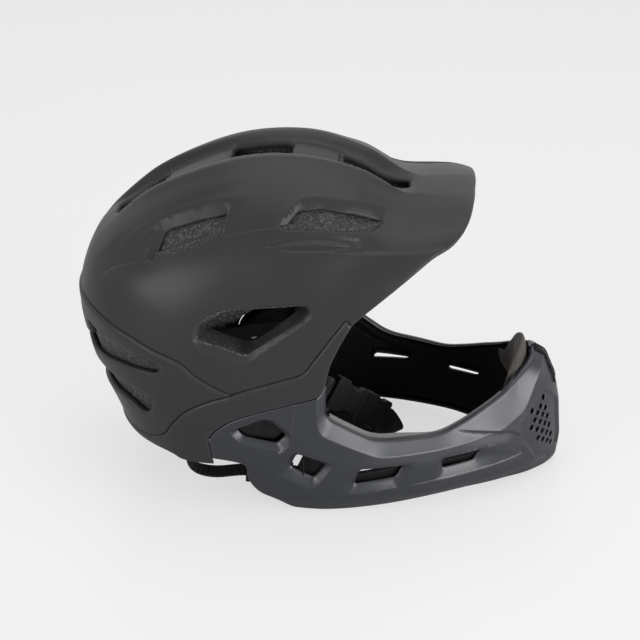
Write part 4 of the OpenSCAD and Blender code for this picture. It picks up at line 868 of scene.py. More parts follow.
def skirted(verts, normals, faces, onMiddle, relief, deep):
    # every open edge off the middle is carried inwards as a wall, in two steps
    directed = np.concatenate([faces[:, [0, 1]], faces[:, [1, 2]], faces[:, [2, 0]]])
    _, index, count = np.unique(np.sort(directed, axis=1), axis=0, return_index=True, return_counts=True)
    rim = directed[index[count == 1]]
    rim = rim[~(onMiddle[rim[:, 0]] & onMiddle[rim[:, 1]])]
    used = np.unique(rim)
    left = np.maximum(np.broadcast_to(deep, len(relief))[used] - relief[used], 0.4)
    out, shell = [verts], list(faces)
    above = {v: v for v in used}
    for step in (0.4, 1.0):
        ring = verts[used] - normals[used] * (left * step)[:, None]
        ring[onMiddle[used], 1] = 0
        first = sum(len(v) for v in out)
        below = {v: first + i for i, v in enumerate(used)}
        out.append(ring)
        for a, b in rim:
            shell.append((above[b], above[a], below[a]))
            shell.append((above[b], below[a], below[b]))
        above = below
    return np.vstack(out), np.array(shell), np.concatenate([onMiddle, onMiddle[used], onMiddle[used]])


def mirrored(verts, faces, onMiddle):
    # both halves as one mesh, sharing the points on the middle
    onMiddle = onMiddle[np.unique(faces)]
    verts, faces = onlyUsed(verts, faces)
    other = np.arange(len(verts)) + len(verts)
    other[onMiddle] = np.arange(len(verts))[onMiddle]
    return onlyUsed(np.vstack([verts, verts * [1, -1, 1]]), np.vstack([faces, other[faces][:, ::-1]]))


def outwards(verts, faces, centre):
    # turns all faces round if most of them look towards the centre
    a, b, c = (verts[faces[:, k]] for k in range(3))
    facing = np.sum(np.cross(b - a, c - a) * ((a + b + c) / 3 - centre))
    return faces if facing > 0 else faces[:, ::-1]


shells = buildShells()
for name, node, deep, thick in (
        ("upperShell", "upper_shell", 4.6, 1.0), ("rearShell", "rear_shell", 4.0, 1.0),
        ("lowerShell", "lower_shell", 2.0, 1.2)):
    verts, normals, faces, onMiddle, relief = shells[name]
    faces = outwards(verts, faces, np.array([ear[0], 0, ear[1]]))
    verts, faces, onMiddle = skirted(verts, normals, faces, onMiddle, relief, deep)
    if name == "lowerShell":
        verts, faces = onlyUsed(verts, faces)
        parts = [("_right", verts, faces), ("_left", verts * [1, -1, 1], faces[:, ::-1])]
    else:
        parts = [("", *mirrored(verts, faces, onMiddle))]
    for label, verts, faces in parts:
        shell = makePiece(name + label, verts, faces, shellPaint, "helmet")
        addWall(shell, thick)
        standFor(shell, node + label)
print("shells made")

# The chin guard: its outer side is given by how far it lies in from the widest line, over the plan
# (u, z) of distance along the guard seen from above, and height. A station is an x with its
# (depth, height) pairs from the top down.

guardForm = {
    "reach": 166.5, "nominal": 164.0, "halfWidth": 96.0, "spacing": 1.9, "wall": 1.3, "edge": 3.4,
    "top": 86.8, "foot": 2.4, "liningAt": 2.9, "lining": 5.0, "liningThin": 3.0,
    "slotRise": (15.0, 8.0, 5.4), "slotGrowth": (-2, 0.6, 0.6), "bevel": (5.2, 6.4, 4.2),
}
guardCentre = np.array([40.0, 0.0, 40.0])
guardStations = [
    (-66, [(1, 101), (2, 90), (4, 62), (8, 46), (12.5, 32), (16, 22), (20, 16)]),
    (-30, [(0.5, 101), (1, 90), (2, 62), (3, 40), (7, 18), (11, 8), (14, 2)]),
    (-10, [(0.5, 101), (0.5, 88), (0.5, 55), (1.5, 28), (4.5, 9), (9, 0.6), (10, -1)]),
    (11.5, [(0.5, 101), (0.5, 88), (0, 45), (1.5, 22), (4, 9), (8.5, 0), (9.5, -1)]),
    (45, [(0.5, 101), (0.5, 42), (0, 34), (1.5, 20), (4, 8), (9, 0.8), (10, -1)]),
    (85, [(0.5, 101), (0.5, 41), (0, 33), (1.5, 20), (4, 9), (9, 3), (10, 1)]),
    (105, [(0.5, 101), (0.5, 42), (0, 33), (1.5, 20), (4, 10), (9, 3.5), (10, 1.5)]),
    (130, [(1, 101), (1, 46), (0, 36), (1, 22), (3, 10), (8, 2.5), (9, 0.5)]),
    (150, [(8, 101), (5, 66), (1.5, 46), (0.5, 26), (1.5, 11), (6, 0.5), (7, -1)]),
    (164, [(22, 87.5), (13, 80), (6, 64), (2.5, 46), (1, 20), (3, 3), (4, 0)])]
heights = np.arange(-2, 102, 0.5)
stationAt = np.array([s[0] for s in guardStations], float)
stationDepth = np.array([np.interp(heights, [p[1] for p in s[1]][::-1], [p[0] for p in s[1]][::-1])
                         for s in guardStations])
# corners of the sections are rounded by averaging each depth with its neighbours
padded = np.pad(stationDepth, ((0, 0), (4, 4)), mode="edge")
stationDepth = sum(padded[:, k:k + len(heights)] for k in range(1, 8)) / 7


def guardHalfWidth(v):
    k = np.clip(1 - np.clip(v / guardForm["nominal"], 0, 1) ** 1.75, 0, 1)
    return np.where(v <= 0, guardForm["halfWidth"], guardForm["halfWidth"] * k**0.69)


# the widest line seen from above, with its run and the direction out of the guard
lineV = np.concatenate([
    np.arange(-66, 140, 0.5), guardForm["nominal"] - 24.0 * (1 - np.linspace(0, 1, 400)) ** 2.6])
lineX = np.where(lineV > 0, lineV * guardForm["reach"] / guardForm["nominal"], lineV)
lineY = -guardHalfWidth(lineV)
lineRun = np.concatenate([[0], np.cumsum(np.hypot(np.diff(lineX), np.diff(lineY)))])
outward = np.stack([np.gradient(lineY, lineRun), -np.gradient(lineX, lineRun)], axis=1)
outward /= np.linalg.norm(outward, axis=1, keepdims=True)
outward[-1] = (1, 0)
runEnd = lineRun[-1]


def runAt(x):
    return np.interp(x, lineX, lineRun)


def onSide(points):
    # side view (x, z) to the plan
    p = np.asarray(points, float)
    return np.stack([runAt(p[:, 0]), p[:, 1]], axis=1)


def onFront(points):
    # front view (y, z) to the plan, for the blunt front
    p = np.asarray(points, float)
    return np.stack([np.interp(p[:, 0], lineY, lineRun), p[:, 1]], axis=1)


# The port's edge and the bevel's lower edge, as (x, z), and features on the guard's side.
rimLine = np.vstack([
    roundCorners([(12.0, 103), (11.4, 70.5), (41, 53.6), (50, 51.4), (84, 50.2), (92, 51.4), (105, 56),
                  (127, 65.5), (141, 73.4)], 5, closed=False),
    [(150, 78.8), (158, 83.2), (163, 85.8), (166.5, 86.8)]])
bevelLine = np.vstack([
    roundCorners([(5.6, 103), (5.8, 67), (8.5, 59.5), (44, 42.2), (50, 41), (85, 41), (99, 41.8),
                  (128, 45)], 3, closed=False),
    [(142, 53), (150, 65.5), (156, 75.5), (162, 80), (166.5, 81.5)]])
buttonWindow = roundCorners([
    (-48, 58.7), (-29.5, 67), (-24, 65.5), (-15.6, 57.5), (-21.5, 51), (-43.5, 54)], 1.6)
buttonPocket = roundCorners([
    (-53.5, 58.4), (-30, 70.5), (-21.5, 69.6), (-9.4, 57.5), (-17.5, 46.2), (-46, 50)], 3)
slotRear = roundCorners([(-8, 43.5), (11.2, 36.2), (3.2, 26), (-13, 34)], 2.2)
pocketRear = roundCorners([(-9.5, 47.2), (17.3, 38.6), (3.2, 17.2), (-23, 28.6)], 2.2)
slotMid = roundCorners([(34.5, 31.5), (62.5, 32.2), (58.5, 23.4), (30.5, 20.4)], 2.0)
pocketMid = roundCorners([(33, 34.2), (69.5, 34.2), (60, 16.5), (18.5, 12)], 2.2)
slotFront = roundCorners([(88.8, 32.4), (113, 33.2), (109.6, 26.4), (88.8, 25.4)], 1.5)
pocketFront = roundCorners([(85, 35), (120, 35.4), (141, 22.3), (114, 20.2), (84.5, 19)], 1.6)
# Breath holes in the front view: slanting rows, each with its first hole's (y, z) and its hole count.
breathRows = [
    (-19.2, 54.2, 1), (-22.6, 49.2, 2), (-29.9, 48.9, 4), (-27.8, 41.3, 4), (-30.4, 36.7, 5),
    (-25.2, 26.4, 4)]
breathHole = {"step": (4.5, -3.35), "radius": 1.95}
meshPanel = roundCorners([(-2.4, 10), (-27, 11.5), (-39, 33), (-38.4, 45), (-21, 62.5), (-5, 48)], 3)
lowSlit = roundCorners([(-4, 8.2), (-16, 8.6), (-16, 9.6), (-4, 9.2)], 0.4)
guardTop = guardSeam[::-1] + np.array([0.4, -0.65])
lugRear = smoothLine([(-64.2, 33.5), (-46, 33), (-42, 30), (-41, 21), (-37, 14), (-31, 9), (-20, 5.2)])
guardFoot = smoothLine([
    (-20, 5.2), (-10, 1.2), (4, 0.2), (24, 0.2), (45, 1), (85, 3), (105, 3.4), (130, 2.2), (150, 0.6),
    (160, 0.6), (166.5, 2.4)])
rimPlan, bevelPlan = onSide(rimLine), onSide(bevelLine)
slots = [(onSide(evenly(h, 0.8, True)), onSide(evenly(p, 0.8, True)), d) for h, p, d in (
    (buttonWindow, buttonPocket, 3.6), (slotRear, pocketRear, 4.2), (slotMid, pocketMid, 3.8),
    (slotFront, pocketFront, 3.0))]
panelPlan = onFront(evenly(meshPanel, 0.8, True))
slitPlan = onFront(evenly(lowSlit, 0.8, True))
turn = np.linspace(0, 2 * math.pi, 16, endpoint=False)
breathPlans = []
for y, z, count in breathRows:
    for k in range(count):
        centre = onFront([(y + k * breathHole["step"][0], z + k * breathHole["step"][1])])[0]
        breathPlans.append(centre + breathHole["radius"] * np.stack([np.cos(turn), np.sin(turn)], axis=1))
# long creases behind the front, folded along their lines, and the fold over the cheek
foldUpper = onSide([(95, 52.4), (116, 46.8), (132.5, 42), (140, 36)])
foldLower = onSide([(60, 17), (85, 19.4), (114, 20.4), (141, 22.2)])
cheekFold = onSide(smoothLine([(-9, 79), (-9.6, 66), (-10.8, 56), (-14, 49.5), (-19, 45)]))


def bevelDepth(plan):
    # from nothing at the bevel's lower edge to its full depth at the port's edge
    toRim = distanceTo(plan, rimPlan)
    toBevel = distanceTo(plan, bevelPlan)
    above = inside(plan, np.vstack([bevelPlan, [(runEnd, 140), (-200, 140), (bevelPlan[0, 0], 104)]]))
    above &= plan[:, 0] > bevelPlan[:, 0].min() - 0.1
    deep = np.interp(plan[:, 0], [runAt(90), runAt(140), runEnd], guardForm["bevel"])
    return np.where(above, deep * toBevel / (toBevel + toRim + 1e-6), 0)


def baseDepth(plan):
    # the sections' depth at a height, eased between stations
    x = np.interp(plan[:, 0], lineRun, lineV)
    row = np.clip(np.searchsorted(stationAt, x, side="right") - 1, 0, len(stationAt) - 2)
    share = (x - stationAt[row]) / (stationAt[row + 1] - stationAt[row])
    t = ease(share) * 0.4 + 0.6 * np.clip(share, 0, 1)
    at = np.clip((plan[:, 1] - heights[0]) / 0.5, 0, len(heights) - 1.001)
    k = at.astype(int)
    s = at - k
    a = stationDepth[row, k] * (1 - s) + stationDepth[row, k + 1] * s
    b = stationDepth[row + 1, k] * (1 - s) + stationDepth[row + 1, k + 1] * s
    return a * (1 - t) + b * t


def guardRelief(plan):
    depth = np.zeros(len(plan))
    for hole, pocket, deep in slots:
        within = inside(plan, pocket)
        toHole = distanceTo(plan, hole, True)
        toPocket = distanceTo(plan, pocket, True)
        ramp = np.where(inside(plan, hole), 1, toPocket / (toHole + toPocket + 1e-6))
        depth += np.where(within, deep * ramp, 0)
        depth += 0.25 * (1 - ease(toPocket / 0.8)) * ~within + 0.4 * (1 - ease(toHole / 0.7))
    toPanel = distanceTo(plan, panelPlan, True)
    raised = -0.35 * np.exp(-(toPanel / 1.6) ** 2)
    depth += np.where(inside(plan, panelPlan), 1.3 * ease(toPanel / 1.1), raised)
    for hole in breathPlans:
        toHole = np.linalg.norm(plan - hole.mean(0), axis=1) - breathHole["radius"]
        depth += 0.35 * (1 - ease(np.abs(toHole) / 0.6))
    toSlit = distanceTo(plan, slitPlan, True)
    depth += np.where(inside(plan, slitPlan), 1.2, 0.3 * (1 - ease(toSlit / 0.5)))
    # folds: pressed in or raised below the line, running back to the side's own form
    for fold, high, fall in ((foldUpper, 1.1, 12.0), (foldLower, -0.8, 9.0)):
        toFold = distanceTo(plan, fold)
        lineZ = np.interp(plan[:, 0], fold[:, 0], fold[:, 1])
        ends = ease((plan[:, 0] - fold[0, 0]) / 16) * ease((fold[-1, 0] + 4 - plan[:, 0]) / 12)
        share = np.clip(toFold / 0.9, 0, 1) * (1 - ease(toFold / fall))
        depth += ends * high * np.where(plan[:, 1] < lineZ, share, 0)
    toFold = distanceTo(plan, cheekFold)
    behind = plan[:, 0] < np.interp(plan[:, 1], cheekFold[::-1, 1], cheekFold[::-1, 0])
    depth += np.where(behind, 0.7 * (1 - ease(toFold / 9)) * ease(toFold / 1.2), 0)
    return depth


def guardPlace(plan, depth):
    # depth in from the widest line, across the guard; z is the plan's own height
    u = np.minimum(plan[:, 0], runEnd)
    out = np.stack([np.interp(u, lineRun, outward[:, k]) for k in (0, 1)], axis=1)
    out /= np.linalg.norm(out, axis=1, keepdims=True)
    x = np.interp(u, lineRun, lineX) - out[:, 0] * depth
    y = np.minimum(np.interp(u, lineRun, lineY) - out[:, 1] * depth, 0)
    return np.stack([x, y, plan[:, 1]], axis=1)


def guardNormals(plan):
    # from small steps along and up the smooth side, without its relief
    step = 0.4

    def smooth(p):
        return guardPlace(p, baseDepth(p) + bevelDepth(p))

    u = np.minimum(plan[:, 0], runEnd - step)
    before, after = plan.copy(), plan.copy()
    before[:, 0], after[:, 0] = u - step, u + step
    under, over = plan.copy(), plan.copy()
    under[:, 1] -= step
    over[:, 1] += step
    upwards = smooth(over) - smooth(under)
    normal = np.cross(smooth(after) - smooth(before), upwards)
    # on the middle a step along gives nothing, so the step upwards is turned by a right angle
    middle = plan[:, 0] > runEnd - 0.02
    normal[middle] = (upwards[:, [2, 1, 0]] * [1, 0, -1])[middle]
    return normal / (np.linalg.norm(normal, axis=1, keepdims=True) + 1e-12)


def guardOutline():
    seam = evenly(guardTop, 1.2)
    seam = onSide(seam[seam[:, 1] > 34])
    port = evenly(rimLine, 1.2)
    port = onSide(port[port[:, 1] < 92.6])
    foot = onSide(evenly(guardFoot[::-1], 1.2))
    lug = onSide(evenly(lugRear[::-1], 1.2))
    return evenly(np.vstack([seam, port, foot, lug[1:]]), 1.2, True)


def guardSheet(holes, outline, extra):
    # triangles over the plan, with the outline, holes and creases kept as edges
    lines = [(outline, True)]
    for d in (0.5, 1.1, 1.9):
        lines.append((evenly(grown(outline, -d), 1.3, True), True))
    for hole in holes:
        for d in (0, 0.35, 0.8):
            lines.append((evenly(grown(hole, d), 0.8, True), True))
    lines += extra
    middle = np.linspace(guardForm["foot"], guardForm["top"], 70)
    lines.append((np.stack([np.full(70, runEnd), middle], axis=1), False))
    kept = [(np.minimum(line, [runEnd, 1e9]), closed) for line, closed in lines]
    points = hexPoints(outline.min(0), outline.max(0), guardForm["spacing"])
    points = points[inside(points, outline)]
    plan, faces = triangulate(points, kept, guardForm["spacing"], 0.75)
    centre = plan[faces].mean(1)
    good = inside(centre, outline)
    for hole in holes:
        good &= ~inside(centre, hole)
    return onlyUsed(plan, faces[good])


def buildGuard():
    outline = guardOutline()
    extra = []
    for _, pocket, _ in slots:
        for d in (-0.5, 0, 0.4):
            extra.append((evenly(grown(pocket, d), 1.0, True), True))
    for line, d in ((bevelPlan, 0.8), (foldUpper, 0.6), (foldLower, 0.6), (cheekFold, 0.6)):
        for offset in (-d, 0, d):
            extra.append((evenly(shifted(line, offset), 1.2), False))
    for d in (-1.1, -0.5, 0, 0.6):
        extra.append((evenly(grown(panelPlan, d), 1.0, True), True))
    extra.append((slitPlan, True))
    for hole in breathPlans:
        extra.append((hole.mean(0) + (hole - hole.mean(0)) * 1.3, True))
    plan, faces = guardSheet([s[0] for s in slots] + breathPlans, outline, extra)
    edge = distanceTo(plan, outline, True)
    toEnds = np.minimum(np.abs(plan[:, 1] - guardForm["top"]), np.abs(plan[:, 1] - guardForm["foot"]))
    edge = np.where(plan[:, 0] > runEnd - 1.5, toEnds, edge)
    relief = guardRelief(plan) + 0.7 * roundedEdge(edge, 1.0)
    onMiddle = plan[:, 0] > runEnd - 0.02
    place = guardPlace(plan, baseDepth(plan) + bevelDepth(plan))
    normal = guardNormals(plan)
    verts = place - normal * relief[:, None]
    verts[onMiddle, 1] = 0
    deep = np.full(len(plan), guardForm["edge"])
    for hole in breathPlans:
        near = np.linalg.norm(plan - hole.mean(0), axis=1) < breathHole["radius"] + 0.5
        deep[near] = relief[near] + 0.5
    return verts, normal, faces, onMiddle, relief, plan, deep


verts, normal, faces, onMiddle, relief, guardPlan, deep = buildGuard()
faces = outwards(verts, faces, guardCentre)
# along the foot the wall runs level, under the guard
footZ = np.interp(guardPlan[:, 0], onSide(guardFoot)[:, 0], guardFoot[:, 1])
low = (guardPlan[:, 1] < footZ + 0.6) & (guardPlan[:, 0] > runAt(-19))
normal = normal.copy()
level = normal[low] * [1, 1, 0]
normal[low] = level / np.linalg.norm(level, axis=1, keepdims=True)
verts, faces, onMiddle = skirted(verts, normal, faces, onMiddle, np.where(low, -1.2, relief), deep)
verts, faces = mirrored(verts, faces, onMiddle)
guardSkin = makePiece("guardSkin", verts, faces, guardPaint, "guard_unit")
addWall(guardSkin, guardForm["wall"])
standFor(guardSkin, "chin_guard")
print("guard skin:", len(faces), "faces")


def buildLining():
    # an inner sheet whose edges reach out to the skin, thinner behind the chin pad
    top = rimLine[rimLine[:, 1] < 86] + np.array([0.3, -1.0])
    top = np.vstack([top, [(guardForm["reach"], 84.5)]])
    foot = guardFoot[guardFoot[:, 0] > -4] + np.array([0, 0.9])
    rear = np.array([(8.5, 86), (-4, 60), (-4, foot[0, 1])])
    outline = np.vstack([onSide(evenly(top, 1.2)), onSide(evenly(foot[::-1], 1.2)), onSide(rear[::-1])])
    outline = evenly(outline, 1.4, True)
    # the lining's holes lie higher than the skin's slots
    holes = [grown(slot[0] + np.array([0, rise]), growth) for slot, rise, growth in zip(
        slots[1:], guardForm["slotRise"], guardForm["slotGrowth"])]
    rounded = [evenly(roundCorners(evenly(h, 2.0, True), 0.8), 0.9, True) for h in holes]
    plan, faces = guardSheet(rounded, outline, [])
    onMiddle = plan[:, 0] > runEnd - 0.02
    x = np.interp(plan[:, 0], lineRun, lineV)
    deep = guardForm["liningAt"] + guardForm["lining"] - guardForm["liningThin"] * ease((x - 90) / 34)
    place = guardPlace(plan, baseDepth(plan) + bevelDepth(plan) * 0.86)
    normal = guardNormals(plan)
    edge = distanceTo(plan, outline, True)
    edge = np.where(plan[:, 0] > runEnd - 1.5, 9, edge)
    for hole in holes:
        edge = np.minimum(edge, distanceTo(plan, hole, True))
    deep -= 1.2 * roundedEdge(edge, 1.4)
    verts = place - normal * deep[:, None]
    verts[onMiddle, 1] = 0
    return verts, normal, faces, onMiddle, deep


verts, normal, faces, onMiddle, deep = buildLining()
faces = outwards(verts, faces, guardCentre)[:, ::-1]
verts, faces, onMiddle = skirted(verts, -normal, faces, onMiddle, 8 - deep, 8 - guardForm["liningAt"] - 0.2)
verts, faces = mirrored(verts, faces, onMiddle)
guardLiner = makePiece("guardLiner", verts, faces, liningBlack, "guard_unit")
addWall(guardLiner, 0.5)
standFor(guardLiner, "guard_lining")
print("guard liner:", len(faces), "faces")

trimForm = {"outer": 3.5, "half": 2.0, "rise": -0.9, "thick": 0.3, "tilt": 1.0}


def buildRimTrim():
    # a flat felt strip on the lining's upper edge, just inside the skin, from the port's rear corner
    # to the chin pad
    line = evenly(rimLine[(rimLine[:, 0] > 12.6) & (rimLine[:, 0] < 140) & (rimLine[:, 1] < 88)], 1.5)
    plan = onSide(line)
    around = np.linspace(0, 2 * math.pi, 12, endpoint=False)
    across = np.sign(np.cos(around)) * np.abs(np.cos(around)) ** 0.5
    up = np.sign(np.sin(around)) * np.abs(np.sin(around)) ** 0.5
    width = 1 - 0.66 * ease((line[:, 0] - 56) / 34)
    rings = []
    for a, h in zip(across, up):
        inwards = trimForm["outer"] + trimForm["half"] * width * (1 + a)
        place = guardPlace(plan, baseDepth(plan) + bevelDepth(plan) + inwards)
        place[:, 2] += trimForm["rise"] + trimForm["thick"] * h + trimForm["tilt"] * width * (1 + a)
        rings.append(place)
    return np.stack(rings, axis=1).reshape(-1, 3), tubeFaces(len(plan), len(around))


verts, faces = buildRimTrim()
for side, label in ((1, "right"), (-1, "left")):
    facing = [f if side > 0 else f[::-1] for f in faces]
    trim = makePiece("rimTrim_" + label, verts * [1, side, 1], facing, feltTrim, "guard_unit")

# The head cavity's wall, as the foam is cut: superellipse in plan, closing to a dome above the ear.

cavity = {
    "x": -162 + 2.3 + 25 + 95, "length": 190.0, "halfWidth": 97 - 2.3 - 20, "top": 227 - 2.3 - 24,
    "power": 2.2}


def wallShare(z, d=0.0):
    # how much of its plan the cavity keeps at height z, d inside its wall
    dome = np.clip(1 - (np.maximum(z - ear[1], 0) / (cavity["top"] - ear[1] - d)) ** 2, 0, 1) ** 0.45
    return np.where(z <= 60, 0.94 + 0.06 * (z + 10) / 70, np.where(z <= ear[1], 1, dome))


def onOval(v, along, across):
    # the other half axis's share at v, on the superellipse
    return across * np.clip(1 - (np.abs(v) / along) ** cavity["power"], 0, 1) ** (1 / cavity["power"])


def wallAcross(x, z, d=0.0):
    k = wallShare(z, d)
    return onOval(x - cavity["x"], (cavity["length"] / 2 - d) * k, (cavity["halfWidth"] - d) * k)


def wallAhead(y, z, d):
    k = wallShare(z, d)
    return onOval(y, (cavity["halfWidth"] - d) * k, (cavity["length"] / 2 - d) * k)


def wallAbove(x, y, d):
    p = cavity["power"]
    k = ((np.abs(x - cavity["x"]) / (cavity["length"] / 2 - d)) ** p
         + (np.abs(y) / (cavity["halfWidth"] - d)) ** p) ** (1 / p)
    return ear[1] + (cavity["top"] - ear[1] - d) * np.sqrt(np.clip(1 - k ** (2 / 0.9), 0, 1))


# Pads: crowned cushions with sides drawn in and two sewn channels, puffed up as cloth.

padLook = {"gap": 0.8, "channelAt": 0.36, "channelWidth": 0.06, "edge": 0.35, "columns": 61, "rows": 31,
           "puffFrames": 14, "puffCap": 0.35, "pressure": 4.0}


def padMesh(place, half, thick):
    # top and back sheets over (u, v) in -1..1, height thick * (edge + (1 - edge) * crown)
    spread = [np.linspace(-1, 1, padLook[key]) for key in ("columns", "rows")]
    u, v = np.meshgrid(*(np.sign(s) * (1 - (1 - np.abs(s)) ** 1.4) for s in spread), indexing="ij")
    corner = 1 - 0.09 * (u * v) ** 4
    across = half[0] * u * (1 - 0.05 * (1 - v * v)) * corner
    up = half[1] * v * (1 - 0.05 * (1 - u * u)) * corner
    channel = np.clip(1 - np.abs(np.abs(u) - padLook["channelAt"]) / padLook["channelWidth"], 0, 1)
    crown = (np.clip(1 - u**6, 0, 1) * np.clip(1 - v**6, 0, 1)) ** 0.4 * (1 - 0.45 * ease(channel))
    high = thick * (padLook["edge"] + (1 - padLook["edge"]) * crown)
    rings = np.maximum(np.abs(u), np.abs(v))
    seam = 0.35 * np.exp(-((rings - 0.93) / 0.02) ** 2)
    sheets = []
    for depth in (padLook["gap"] + high - seam, np.full_like(high, padLook["gap"])):
        sheets.append(place(across.ravel(), up.ravel(), depth.ravel()))
    count = u.size
    rows, columns = u.shape
    faces = gridFaces(rows, columns)
    border = np.concatenate([
        np.arange(rows) * columns, (rows - 1) * columns + np.arange(1, columns),
        np.arange(rows - 2, -1, -1) * columns + columns - 1, np.arange(columns - 2, 0, -1)])
    after = np.roll(border, -1)
    side = np.stack([border, border + count, after + count, after], axis=1)
    return np.vstack(sheets), np.vstack([faces, (faces + count)[:, ::-1], side[:, ::-1]])


def puffed(obj, cap):
    # cloth under pressure for a few frames, each point held to the cap, so seams wrinkle a little
    scene = bpy.context.scene
    mesh = obj.data
    before = np.empty(len(mesh.vertices) * 3)
    mesh.vertices.foreach_get("co", before)
    before = before.reshape(-1, 3)
    cloth = obj.modifiers.new("cloth", "CLOTH")
    cloth.settings.use_pressure = True
    cloth.settings.uniform_pressure_force = padLook["pressure"]
    cloth.settings.effector_weights.gravity = 0
    cloth.settings.quality = 5
    for frameNumber in range(1, padLook["puffFrames"] + 1):
        scene.frame_set(frameNumber)
    evaluated = obj.evaluated_get(bpy.context.evaluated_depsgraph_get())
    after = np.empty(len(mesh.vertices) * 3)
    evaluated.data.vertices.foreach_get("co", after)
    move = after.reshape(-1, 3) - before
    length = np.linalg.norm(move, axis=1, keepdims=True) + 1e-9
    move *= np.minimum(1, cap * mm / length)
    obj.modifiers.remove(cloth)
    mesh.vertices.foreach_set("co", (before + move).ravel())
    mesh.update()
    scene.frame_set(1)


def signedVolume(verts, faces):
    a, b, c, d = (verts[faces[:, k]] for k in range(4))
    return np.sum(a * np.cross(b, c)) + np.sum(a * np.cross(c, d))


def addPad(name, node, place, half, thick):
    # the mesh leaves room for the puffing
    room = 0.4
    verts, faces = padMesh(place, (half[0] - room, half[1] - room), thick - room)
    if signedVolume(verts, faces) < 0:
        faces = faces[:, ::-1]
    obj = makePiece(name, verts, faces, padCloth, bodyOf[node])
    standFor(obj, node)
    puffed(obj, padLook["puffCap"])
    finer = obj.modifiers.new("finer", "SUBSURF")
    finer.levels = finer.render_levels = 1


def rows3(x, y, z):
    return np.stack(np.broadcast_arrays(x, y, z), axis=1).astype(float)


# the pads' middles: height z, distance x, and (x, z) on the side wall
browZ, crownX, templeAt, cheekAt = 175, -81.5, (-42, 167), (-42, 96)
addPad("browPad", "brow_pad", lambda p, q, d: rows3(
    cavity["x"] + wallAhead(p, browZ + q, d), p, browZ + q), (30, 11), 6)
addPad("crownPad", "crown_pad", lambda p, q, d: rows3(
    crownX + q, p, wallAbove(crownX + q, p, d)), (30, 19), 6)


def alongSide(side, at, lean):
    # a pad's place on the cavity's side wall, its length leaning by the share lean
    def place(p, q, d):
        x, z = at[0] + p, at[1] + q + lean * p
        return rows3(x, side * wallAcross(x, z, d), z)
    return place


for side, label in ((-1, "right"), (1, "left")):
    addPad("templePad_" + label, "temple_pad_" + label, alongSide(side, templeAt, 0.0), (35, 11), 7)
    addPad("cheekPad_" + label, "cheek_pad_" + label, alongSide(side, cheekAt, 0.3), (18, 14.5), 9)
cradleFront = -117 + 6 + 1.6 + 2
addPad("napePad", "nape_pad", lambda p, q, d: rows3(cradleFront + d - 0.5, p, 38 + q), (15, 13), 5)
print("pads made")

# Chin pad: an oval cushion with a piping round each edge and a band drawn in between.

chinPad = {"half": 31.0, "high": 22.0, "z": 70.0, "set": 29.6, "bow": 0.011, "thick": 9.0, "flare": 0.2,
           "puffCap": 0.5}


def chinPadMesh():
    # rings across the width w: x + t/2 cos a (0.3 + 0.7 full), z + high full sin a,
    # full = sqrt(1 - |w/half|^2.6), pipings at |cos a| = 0.74
    s = np.linspace(-1, 1, 73)
    w = chinPad["half"] * np.sign(s) * (1 - (1 - np.abs(s)) ** 1.7)
    a = np.linspace(0, 2 * math.pi, 96, endpoint=False)
    w, a = np.meshgrid(w, a, indexing="ij")
    u = np.abs(w) / chinPad["half"]
    full = np.sqrt(np.clip(1 - u**2.6, 0.0004, 1))
    out, rise = np.cos(a), np.sin(a)
    piping = np.exp(-((np.abs(out) - 0.74) / 0.075) ** 2)
    beside = np.exp(-((np.abs(out) - 0.56) / 0.07) ** 2)
    drawn = np.exp(-((out / 0.36) ** 2))
    x = guardForm["reach"] - chinPad["set"] - chinPad["bow"] * w * w
    x += chinPad["thick"] / 2 * out * (0.3 + 0.7 * full)
    high = (chinPad["high"] * full + 0.3) * (1 + 0.035 * piping - 0.02 * beside - 0.045 * drawn)
    z = chinPad["z"] - 6 * u * u + high * rise
    y = w * (1 - chinPad["flare"] * rise)
    x -= chinPad["bow"] * (y * y - w * w)
    return np.stack([x, y, z], axis=2)


place = chinPadMesh()
rows, columns = place.shape[:2]
verts = np.vstack([place.reshape(-1, 3), place[0].mean(0), place[-1].mean(0)])
ring = np.arange(columns)
capA = np.stack([np.full(columns, rows * columns), (ring + 1) % columns, ring], axis=1)
capB = np.stack([np.full(columns, rows * columns + 1), (rows - 1) * columns + ring,
                 (rows - 1) * columns + (ring + 1) % columns], axis=1)
quads = gridFaces(rows, columns, True)
caps = np.vstack([capA, capB])
if signedVolume(verts, quads) < 0:
    quads = quads[:, ::-1]
else:
    caps = caps[:, ::-1]
faces = [tuple(f) for f in quads] + [tuple(f) for f in caps]
chinCushion = makePiece("chinCushion", verts, faces, chinCloth, "guard_unit", closed=True)
standFor(chinCushion, "chin_pad")
puffed(chinCushion, chinPad["puffCap"])
print("chin pad made")

# Straps: flat webbing along the same stops as the frame's, [place, direction of the width].

strapLook = {"width": 15.0, "thick": 1.4, "easy": 0.3}
anchorSpots = [(-2.0, 100.0), (-100.0, 68.0)]
dividerAt = np.array([-29.0, 35 - 97.0, 13.2])
dividerSize = (30.0, 22.0, 4.5)
slotDeep = 8.0
endsY = dividerAt[1] + 2.2
topY = dividerAt[1] - 7.9
buckle = {"at": (9, -20, 55), "turn": (81, 36, 28), "socket": 27.0, "plug": 22.0, "pocket": 6.0,
          "width": 24.0, "thick": 8.0}


def wallSlope(spot):
    return (wallAcross(spot[0] + 1, spot[1]) - wallAcross(spot[0] - 1, spot[1])) / 2


def byAnchor(spot):
    m = wallSlope(spot)
    d = (0.4 + strapLook["easy"] + strapLook["thick"] / 2) / math.hypot(m, 1)
    return (spot[0] + m * d, d - wallAcross(spot[0], spot[1]), spot[1])


def alongWall(spot, down):
    return (1, -wallSlope(spot), down)


def offWall(x, z, inwards):
    return (x, inwards - wallAcross(x, z), z)


def toBuckle(x, k, z):
    return (x, dividerAt[1] + (buckle["at"][1] - dividerAt[1]) * k, z)


